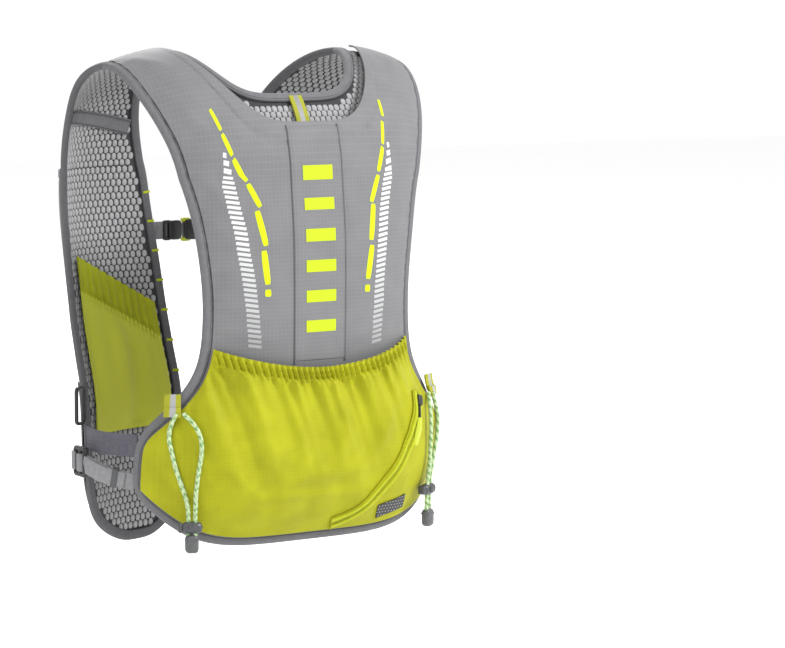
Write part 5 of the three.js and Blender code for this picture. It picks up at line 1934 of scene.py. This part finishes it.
def tape_side(side: Side, x: float, v: float, hand: Hand, past: float) -> Array:
    """The outer side of an edge tape, where something is sewn to it."""
    at = lambda w: BODY.place(side, np.array(x), np.array(w), SHELL / 2)
    point = at(v)
    aside = unit(np.cross(at(v + 1) - point, BODY.outward(side, np.array(x), np.array(v))))
    sign = 1 if np.sign(aside[0]) == hand.value else -1
    return point + aside * sign * (BINDING_WIDTH + past)


def ribbon(points: Sequence[Array], wide: Array, outline: Array, step: float = 1.5) -> Shape:
    """A band along a curve, its width along a given direction."""
    path = dense_path(points, step)
    tangent = unit(np.gradient(path, axis=0))
    aside = unit(wide - (tangent * wide).sum(-1, keepdims=True) * tangent)
    normals = np.cross(aside, tangent)
    return sweep(path, normals, outline)


def ribbed_outline(width: float, thick: float, ribs: int) -> Array:
    """A flat section whose two faces carry ribs."""
    u = np.linspace(-0.5, 0.5, ribs * 8 + 1)
    wave = thick / 2 * (0.72 + 0.28 * np.abs(np.cos(np.pi * ribs * u)))
    upper = np.column_stack([u * width, wave])
    return np.concatenate([upper, upper[::-1] * [1, -1]])


@dataclass
class Flank:
    """The straps and fittings that close one flank of the vest."""

    wardrobe: Wardrobe
    hand: Hand
    elastic_drop: float = 311.0
    lock_drop: float = 328.0
    strap_drop: float = 341.0
    loop_drop: float = 286.0

    def build(self) -> None:
        """Builds the elastic, the lock, the strap and the slot loop."""
        f = self.wardrobe.finishes
        hand, word = self.hand, self.hand.word
        sign = hand.value
        up, out = np.array([0.0, 0, 1]), np.array([float(sign), 0, 0])
        outer = lambda drop: sign * float(front_outer(np.array(-drop)))
        edge = lambda drop: sign * float(back_edge(np.array(-drop)))
        front = tape_side(Side.FRONT, outer(self.elastic_drop), -self.elastic_drop, hand, -1.0)
        back = tape_side(Side.BACK, edge(self.elastic_drop), -self.elastic_drop, hand, -1.0)
        bowed = (front + back) / 2 + out * 10
        elastic = ribbon([front, bowed, back], up, ribbed_outline(18.0, 2.4, 6))
        self.wardrobe.put(
            f"flank_elastic_{word}", elastic, f.elastic, "webbing", [f"side_elastic_{word}"]
        )

        base = tape_side(Side.FRONT, outer(self.lock_drop), -self.lock_drop, hand, 0.0)
        lock = base + np.array([sign * 13.0, 13.0, 0.0])
        axes = (np.array([0.0, 1, 0]), up, out)
        shapes = [
            ring_of(21.0, 25.0, 4.0, 3.6, 4.4).moved(lock, *axes),
            block(4.4, 22.0, 4.2, 1.6, 1.3).moved(lock, *axes),
            block(3.0, 18.0, 2.6, 1.2, 0.9).moved(lock + out * 2.0 + np.array([0, 8.8, 0]), *axes),
        ]
        self.wardrobe.put(
            f"flank_lock_{word}", Shape.joined(shapes), f.plastic, "plastic", [f"ladder_lock_{word}"]
        )

        start = base - out * 1.0
        end = lock + np.array([0.0, -8.0, 0.0])
        middle = (start + end) / 2 + out * 1.5
        tab = [ribbon([start, middle, end], up, rounded_rect(15.0, 1.7, 0.7, 2), 1.0)]
        turned = [
            end + out * 0.2, end + out * 2.6 + np.array([0, 1.0, 0]), end + out * 1.4 - np.array([0, 5.0, 0])
        ]
        tab.append(ribbon(turned, up, rounded_rect(15.0, 1.3, 0.5, 2), 1.0))
        self.wardrobe.put(
            f"flank_tab_{word}", Shape.joined(tab), f.webbing, "webbing", [f"lock_tab_{word}"]
        )

        strap_back = tape_side(Side.BACK, edge(self.strap_drop), -self.strap_drop, hand, -1.0)
        strap_front = lock + np.array([0.0, 9.0, -0.6])
        strap_middle = (strap_back + strap_front) / 2 + out * 5
        wide = unit(np.array([0, 0.4, 1.0]))
        straps = [ribbon([strap_front, strap_middle, strap_back], wide, rounded_rect(15.0, 1.7, 0.7, 2))]
        over = [
            lock + out * 0.5 + np.array([0, 6.5, -0.5]), lock + out * 3.4 + np.array([0, 1.0, -0.5]),
            lock + out * 1.0 + np.array([0, -4.5, -1.0]),
        ]
        straps.append(ribbon(over, up, rounded_rect(14.6, 1.4, 0.6, 2), 1.0))
        tail_top = strap_front + out * 2.6
        tail = [tail_top, strap_middle + out * 2.9, strap_back * 0.75 + strap_middle * 0.25 + out * 2.6]
        straps.append(ribbon(tail, wide, rounded_rect(14.4, 1.4, 0.6, 2)))
        self.wardrobe.put(
            f"flank_strap_{word}", Shape.joined(straps), f.webbing, "webbing", [f"side_strap_{word}"]
        )
        keeper_at = strap_middle * 0.6 + strap_back * 0.4 + out * 1.6
        run = unit(strap_back - strap_middle)
        upright = unit(wide - run * (wide @ run))
        keeper = ring_of(17.5, 5.2, 1.6, 1.4, 5.0).moved(keeper_at, upright, np.cross(run, wide), run)
        self.wardrobe.put(f"flank_keeper_{word}", keeper, f.grey_plastic, "plastic")

        loop_base = tape_side(Side.FRONT, outer(self.loop_drop), -self.loop_drop, hand, 2.4)
        turn = np.array([sign * math.cos(0.5), math.sin(0.5), 0.0])
        ring = ring_of(13.0, 32.0, 4.4, 2.6, 3.2).moved(loop_base + turn * 6.3, turn, up, np.cross(turn, up))
        self.wardrobe.put(f"flank_ring_{word}", ring, f.plastic, "plastic", [f"slot_loop_{word}"])


# The elastic loops

CORD_ROUTE = (
    (122.6, 87.9, -281.2), (126.8, 86.3, -291), (128.8, 87, -301), (127.6, 88.9, -311),
    (125.4, 90.1, -322), (121.9, 91.6, -334), (118.6, 93.4, -345), (116.4, 94.4, -354),
    (115.7, 94.7, -362), (115.6, 94.5, -370), (115.6, 94.6, -379), (115.6, 94.7, -384),
    (114.9, 95.2, -386), (113.4, 96, -386.7), (111.9, 97, -386), (111.1, 97.3, -384),
    (111.1, 97.3, -379), (111.1, 97.4, -370), (111.1, 97.5, -362), (111.3, 98.4, -354),
    (111.6, 99.6, -345), (111.5, 101.4, -336), (110.9, 102.6, -327), (110, 104.4, -317),
    (109.5, 105.4, -307), (110.4, 103.6, -297), (113.3, 97.6, -288), (117.4, 90, -281.4),
)


@dataclass
class ElasticLoop:
    """An elastic cord that hangs in a loop on the back pocket, with its tab, lock and end clip."""

    wardrobe: Wardrobe
    hand: Hand
    lock_z: float
    diameter: float = 3.6
    length: float = 0.224
    tab_width: float = 10.0
    tab_in: float = 4.0
    tab_stand: float = 3.2

    def route(self) -> Array:
        """The cord's route on this side, in millimetres."""
        return np.array(CORD_ROUTE) * np.array([self.hand.value, 1.0, 1.0])

    def curve(self, finish: Braided) -> bpy.types.Object:
        """Builds the cord as one smooth curve."""
        word = self.hand.word
        points = self.route() * MM
        data = bpy.data.curves.new(f"elastic_cord_{word}", "CURVE")
        data.dimensions = "3D"
        data.resolution_u = 6
        data.bevel_depth = self.diameter / 2 * MM
        data.bevel_resolution = 4
        data.use_fill_caps = True
        spline = data.splines.new("BEZIER")
        spline.bezier_points.add(len(points) - 1)
        for place, point in zip(spline.bezier_points, points):
            place.co = point
            place.handle_left_type = place.handle_right_type = "AUTO"
        made = bpy.data.objects.new(f"elastic_cord_{word}", data)
        bpy.context.scene.collection.objects.link(made)
        data.materials.append(self.wardrobe.finishes.of(finish))
        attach(made, ROOT)
        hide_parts(f"bungee_{word}")
        return made

    def build(self) -> None:
        """Builds the cord and what is on it."""
        f = self.wardrobe.finishes
        word = self.hand.word
        low = min(self.route(), key=lambda p: p[2])
        cord = self.curve(f.cord)
        turn = -self.hand.value * 0.4
        right = np.array([math.cos(turn), math.sin(turn), 0.0])
        out = np.array([-math.sin(turn), math.cos(turn), 0.0])
        up = np.array([0.0, 0.0, 1.0])
        at = np.array([low[0], low[1], self.lock_z])
        barrel = [
            self.barrel(18.0, 10.0, 9.0).moved(at, right, up, out),
            block(7.0, 5.4, 2.0, 2.4, 0.9).moved(at + out * 4.6, right, up, out),
            block(3.4, 7.6, 6.4, 1.4, 1.2).moved(at + right * 9.4, right, up, out),
        ]
        lock = self.wardrobe.put(
            f"barrel_lock_{word}", Shape.joined(barrel), f.grey_plastic, "plastic", [f"cord_lock_{word}"]
        )
        end_at = np.array([low[0], low[1], low[2] + 1.5])
        clip = [
            block(11.0, 15.0, 7.5, 3.6, 2.6).moved(end_at, right, up, out),
            block(9.4, 1.2, 8.3, 0.5, 0.3).moved(end_at + up * 3.4, right, up, out),
            block(5.0, 5.0, 8.4, 2.4, 0.5).moved(end_at - up * 2.0, right, up, out),
        ]
        clip_piece = self.wardrobe.put(
            f"end_clip_{word}", Shape.joined(clip), f.clip, "plastic", [f"cord_end_{word}"]
        )
        self.tab(f)

    def barrel(self, width: float, height: float, thick: float) -> Shape:
        """A barrel-shaped lock body, rounder at its middle."""
        u = np.linspace(-1, 1, 15)
        path = np.column_stack([u * width / 2, np.zeros(15), np.zeros(15)])
        size = np.clip(1 - np.abs(u) ** 5, 0.0, 1) ** 0.5 * (0.86 + 0.14 * np.cos(u * math.pi / 2))
        angles = np.linspace(0, 2 * math.pi, 21)[:-1]
        rings = [
            np.column_stack(
                [np.full(20, p[0]), height / 2 * k * np.cos(angles), thick / 2 * k * np.sin(angles)]
            )
            for p, k in zip(path, np.maximum(size, 0.05))
        ]
        points = np.concatenate(rings)
        faces = grid_faces(15, 20, wrap=True) + [list(range(20)), list(range(280, 300))[::-1]]
        return Shape(points, faces, points.copy())

    def tab(self, f: Finishes) -> None:
        """Builds the folded tab that the cord starts from."""
        word = self.hand.word
        first = self.route()[0]
        x, low = first[0] - self.hand.value * self.tab_in, first[2]
        cloth = BackPocket(self.wardrobe)
        standing = lambda x, v: cloth.relief(x, v) + self.tab_stand * ease(-v, -low - 14.0, -low)
        layer = Layer(Side.BACK, pocket_off, standing)
        route = np.column_stack([np.full(20, x), np.linspace(low + 15.0, low - 0.5, 20)])
        shapes = [layer.band(route, self.tab_width, 0.3, 1.6, 8, 0.3)]
        fold = np.column_stack([np.full(8, x), np.linspace(low + 5.5, low - 2.0, 8)])
        shapes.append(layer.band(fold, self.tab_width, 0.2, 3.0, 8, 1.0))
        self.wardrobe.put(
            f"elastic_tab_{word}", Shape.joined(shapes), f.tab, "lime", [f"bungee_tab_{word}"]
        )


@dataclass
class Trims:
    """The front zip, the stretch pocket, the whistle, the small locks and the sewn loops."""

    wardrobe: Wardrobe

    def build(self) -> None:
        """Builds every trim."""
        f = self.wardrobe.finishes
        self.front_zip(f)
        self.stretch_pocket(f)
        self.whistle(f)
        self.small_locks(f)
        self.loops(f)

    def front_zip(self, f: Finishes) -> None:
        """Builds the zip across the right lower pocket."""
        layer = FrontPanel(self.wardrobe, Hand.RIGHT).lower_layer()
        u = np.linspace(0, 1, 60)
        v = -286.0 + 3.5 * np.sin(np.pi * u)
        x = front_x(Hand.RIGHT, 0.94 - 0.78 * u, v)
        route = np.column_stack([x, v])
        self.wardrobe.put(
            "front_zip_cloth", layer.band(route, 9.5, 0.2, 1.3, 6, 0.3), f.lime, "lime", ["front_zip_tape"]
        )
        self.wardrobe.put(
            "front_zip_coil", layer.band(route, 2.6, 1.2, 1.9, 3, 0.2), f.lime_seam, "lime"
        )
        spot = (float(x[-2]), float(v[-2]))
        put_block(
            self.wardrobe, "front_zip_head", layer, spot, (9.0, 6.6, 3.4, 2.0), 1.6, 0.0, f.plastic, "plastic",
            ["front_zip_slider"]
        )
        start = (spot[0] - 1.0, spot[1] - 3.0)
        line = dense_path([start, (start[0] - 0.6, start[1] - 14), (start[0] - 0.4, start[1] - 29)], 0.8)
        wide = 2.2 + 3.2 * ease(np.linspace(0, 1, len(line)), 0.2, 0.4)
        self.wardrobe.put(
            "front_zip_grip", layer.band(line, wide, 1.0, 3.0, 6, 1.0), f.plastic, "plastic", [
                "front_zip_pull"
            ]
        )

    def stretch_relief(self, x: Array, v: Array) -> Array:
        """The stretch pocket's hem and the bend of its upper edge."""
        s = across_front(x, v)
        below = -293 + 24 * s**2 + 11 - v
        return 0.6 * (1 - ease(below, 5.4, 6.2)) + soft_waves(x, v, 0.3, 4.0) * ease(v + 392, 0, 8)

    def stretch_pocket(self, f: Finishes) -> None:
        """Builds the grey stretch pocket over the left lower pocket."""
        under = FrontPanel(self.wardrobe, Hand.LEFT).lower_relief
        relief = lambda x, v: self.stretch_relief(x, v) + 0.25 * under(x, v)
        layer = Layer(Side.FRONT, stretch_off, relief)
        top = lambda s: -293 + 24 * s**2 + 11 * np.sin(np.pi * np.clip(s * 0.8 + 0.1, 0, 1))
        x, v = front_grid(Hand.LEFT, 0.03 + 0.94 * even(60), even(60), top, level(-FRONT_DROP + 2.5))
        pocket = self.wardrobe.put(
            "stretch_cloth", layer.wall(x, v), f.grey, "ripstop", ["outer_pocket_left"]
        )

    def whistle(self, f: Finishes) -> None:
        """Builds the whistle and the elastic that holds it."""
        layer = FrontPanel(self.wardrobe, Hand.LEFT).lower_layer()
        x = float(front_x(Hand.LEFT, 0.2, np.array(-272.0)))
        put_block(
            self.wardrobe, "whistle_body", layer, (x, -272.0), (6.4, 18.5, 5.2, 2.4), 1.2, 0.0, f.orange, "orange",
            ["whistle"]
        )
        put_block(
            self.wardrobe, "whistle_lip", layer, (x, -263.5), (5.0, 5.0, 3.6, 1.6), 2.0, 0.0, f.orange,
            "orange"
        )
        put_block(
            self.wardrobe, "whistle_slot", layer, (x, -271.0), (3.4, 2.4, 1.0, 0.8), 5.6, 0.0, f.plastic,
            "plastic"
        )
        line = dense_path([(x, -268.5), (x - 8, -266.5), (x - 15, -269.5), (x - 18.5, -273.5)], 0.8)
        self.wardrobe.put(
            "whistle_elastic", layer.band(line, 6.0, 1.0, 2.2, 6, 0.2), f.elastic, "webbing"
        )

    def small_locks(self, f: Finishes) -> None:
        """Builds the small locks high on the two daisy strips."""
        layer = Layer(Side.FRONT, flat_off(6.0), thick=0.0)
        for hand in Hand:
            x = hand.value * (float(front_inner(np.array(-112.0))) - 3.5)
            put_block(
                self.wardrobe, f"small_lock_{hand.word}", layer, (x, -112.0), (8.4, 20.0, 6.0, 3.0), 0.6,
                0.1 * hand.value, f.plastic, "plastic", [f"chest_cord_lock_{hand.word}"],
            )
            put_block(
                self.wardrobe, f"small_lock_tip_{hand.word}", layer, (x, -100.5), (6.0, 5.0, 4.4, 2.0), 1.2,
                0.1 * hand.value, f.grey_plastic, "plastic",
            )

    def loops(self, f: Finishes) -> None:
        """Builds the lime loops at the bottom of the front and at the neck."""
        for hand in Hand:
            panel = FrontPanel(self.wardrobe, hand)
            x = hand.value * 96.0
            route = np.column_stack([np.full(16, x), np.linspace(-366.0, -384.0, 16)])
            if hand is Hand.LEFT:
                layer = Layer(Side.FRONT, stretch_off, lambda x, v: np.zeros_like(x))
            else:
                layer = panel.lower_layer()
            self.wardrobe.put(
                f"hem_loop_{hand.word}", layer.band(route, 8.0, 0.6, 2.0, 6, 1.0), f.loop, "lime", [
                    f"bottom_loop_{hand.word}"
                ]
            )
        arch = lambda x, v: 1.4 * np.sin(np.pi * np.clip((-53 - v) / 32, 0, 1))
        layer = Layer(Side.BACK, flat_off(SHELL + 0.4), arch, 0.0)
        route = np.column_stack([np.zeros(26), np.linspace(-54.0, -83.0, 26)])
        self.wardrobe.put(
            "neck_loop", layer.band(route, 12.0, 0.3, 1.5, 8, 0.2), f.loop, "lime", ["bladder_loop"]
        )


# Camera, light and floor


@dataclass(frozen=True)
class PhotoView:
    """The camera of the photograph's larger view."""

    azimuth: float = 149.0
    elevation: float = 6.0
    distance: float = 2.4
    scale: float = 0.836
    target: tuple[float, float, float] = (0.0, 0.0, -0.2)
    target_px: tuple[float, float] = (252.0, 293.5)
    size_px: tuple[int, int] = (785, 648)

    def build(self) -> None:
        """Puts the camera in place."""
        az, el = math.radians(self.azimuth), math.radians(self.elevation)
        forward = Vector((-math.sin(az) * math.cos(el), math.cos(az) * math.cos(el), -math.sin(el)))
        data = bpy.data.cameras.new("photo_view")
        frame_mm = self.size_px[0] * self.scale
        data.sensor_width = 36.0
        data.lens = 36.0 * self.distance * 1000 / frame_mm
        data.shift_x = (self.size_px[0] / 2 - self.target_px[0]) / self.size_px[0]
        data.shift_y = (self.target_px[1] - self.size_px[1] / 2) / self.size_px[0]
        data.clip_start = 0.05
        made = bpy.data.objects.new("photo_view", data)
        bpy.context.scene.collection.objects.link(made)
        made.location = Vector(self.target) - forward * self.distance
        made.rotation_euler = forward.to_track_quat("-Z", "Y").to_euler()
        bpy.context.scene.camera = made


@dataclass(frozen=True)
class Studio:
    """A pale floor and soft light."""

    floor_z: float = -0.475
    key: float = 92.0
    fill: float = 8.0
    world: float = 1.0

    def build(self) -> None:
        """Builds the floor, the lamps and the world."""
        data = bpy.data.meshes.new("studio_floor")
        half = 6.0
        data.from_pydata(
            [(-half, -half, 0), (half, -half, 0), (half, half, 0), (-half, half, 0)], [], [(0, 1, 2, 3)]
        )
        floor = bpy.data.objects.new("studio_floor", data)
        floor.location.z = self.floor_z
        bpy.context.scene.collection.objects.link(floor)
        paint = Paint("pale_floor")
        paint.feed(paint.shader.inputs["Base Color"], (0.96, 0.96, 0.96))
        data.materials.append(paint.finish(0.9))
        world = bpy.data.worlds.new("studio_world")
        world.use_nodes = True
        back = world.node_tree.nodes["Background"]
        back.inputs[0].default_value = (1.0, 1.0, 1.0, 1.0)
        back.inputs[1].default_value = self.world
        bpy.context.scene.world = world
        bpy.context.scene.view_settings.view_transform = "Standard"
        self.lamp("key_light", (-1.6, 2.0, 1.9), (0, 0, -0.2), 0.7, self.key)
        self.lamp("fill_light", (2.4, 1.0, 0.6), (0, 0, -0.2), 1.6, self.fill)
        self.lamp("front_light", (-0.9, -2.4, 1.5), (0, 0, -0.2), 1.0, self.key * 0.6)

    def lamp(self, name: str, at: tuple, aim: tuple, size: float, power: float) -> None:
        """Adds a soft lamp.

        Args:
            name: Its name.
            at: Where it stands.
            aim: What it points at.
            size: The side of its square.
            power: Its power.
        """
        data = bpy.data.lights.new(name, "AREA")
        data.size = size
        data.energy = power
        made = bpy.data.objects.new(name, data)
        made.location = at
        made.rotation_euler = (Vector(aim) - Vector(at)).to_track_quat("-Z", "Y").to_euler()
        bpy.context.scene.collection.objects.link(made)


def main() -> None:
    """Loads the frame and builds the sub-assemblies in order."""
    logging.basicConfig(level=logging.INFO, format="%(name)s: %(message)s")
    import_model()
    wardrobe = Wardrobe(Finishes())
    PhotoView().build()
    parts = [
        ElasticLoop(wardrobe, Hand.LEFT, -372.0), ElasticLoop(wardrobe, Hand.RIGHT, -361.0),
        BackPanel(wardrobe), WaterSleeve(wardrobe), BackPocket(wardrobe),
        FrontPanel(wardrobe, Hand.LEFT), FrontPanel(wardrobe, Hand.RIGHT),
        DaisyStrip(wardrobe, Hand.LEFT), DaisyStrip(wardrobe, Hand.RIGHT),
        ChestStrap(wardrobe, "upper", 154.0), ChestStrap(wardrobe, "lower", 329.0),
        Flank(wardrobe, Hand.LEFT), Flank(wardrobe, Hand.RIGHT), Trims(wardrobe),
    ]
    for part in parts:
        before = set(wardrobe.counts)
        part.build()
        for name in sorted(set(wardrobe.counts) - before):
            LOG.info("%s: %s, %d faces", type(part).__name__, name, wardrobe.counts[name])
    Studio().build()
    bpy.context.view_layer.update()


if __name__ == "__main__":
    main()
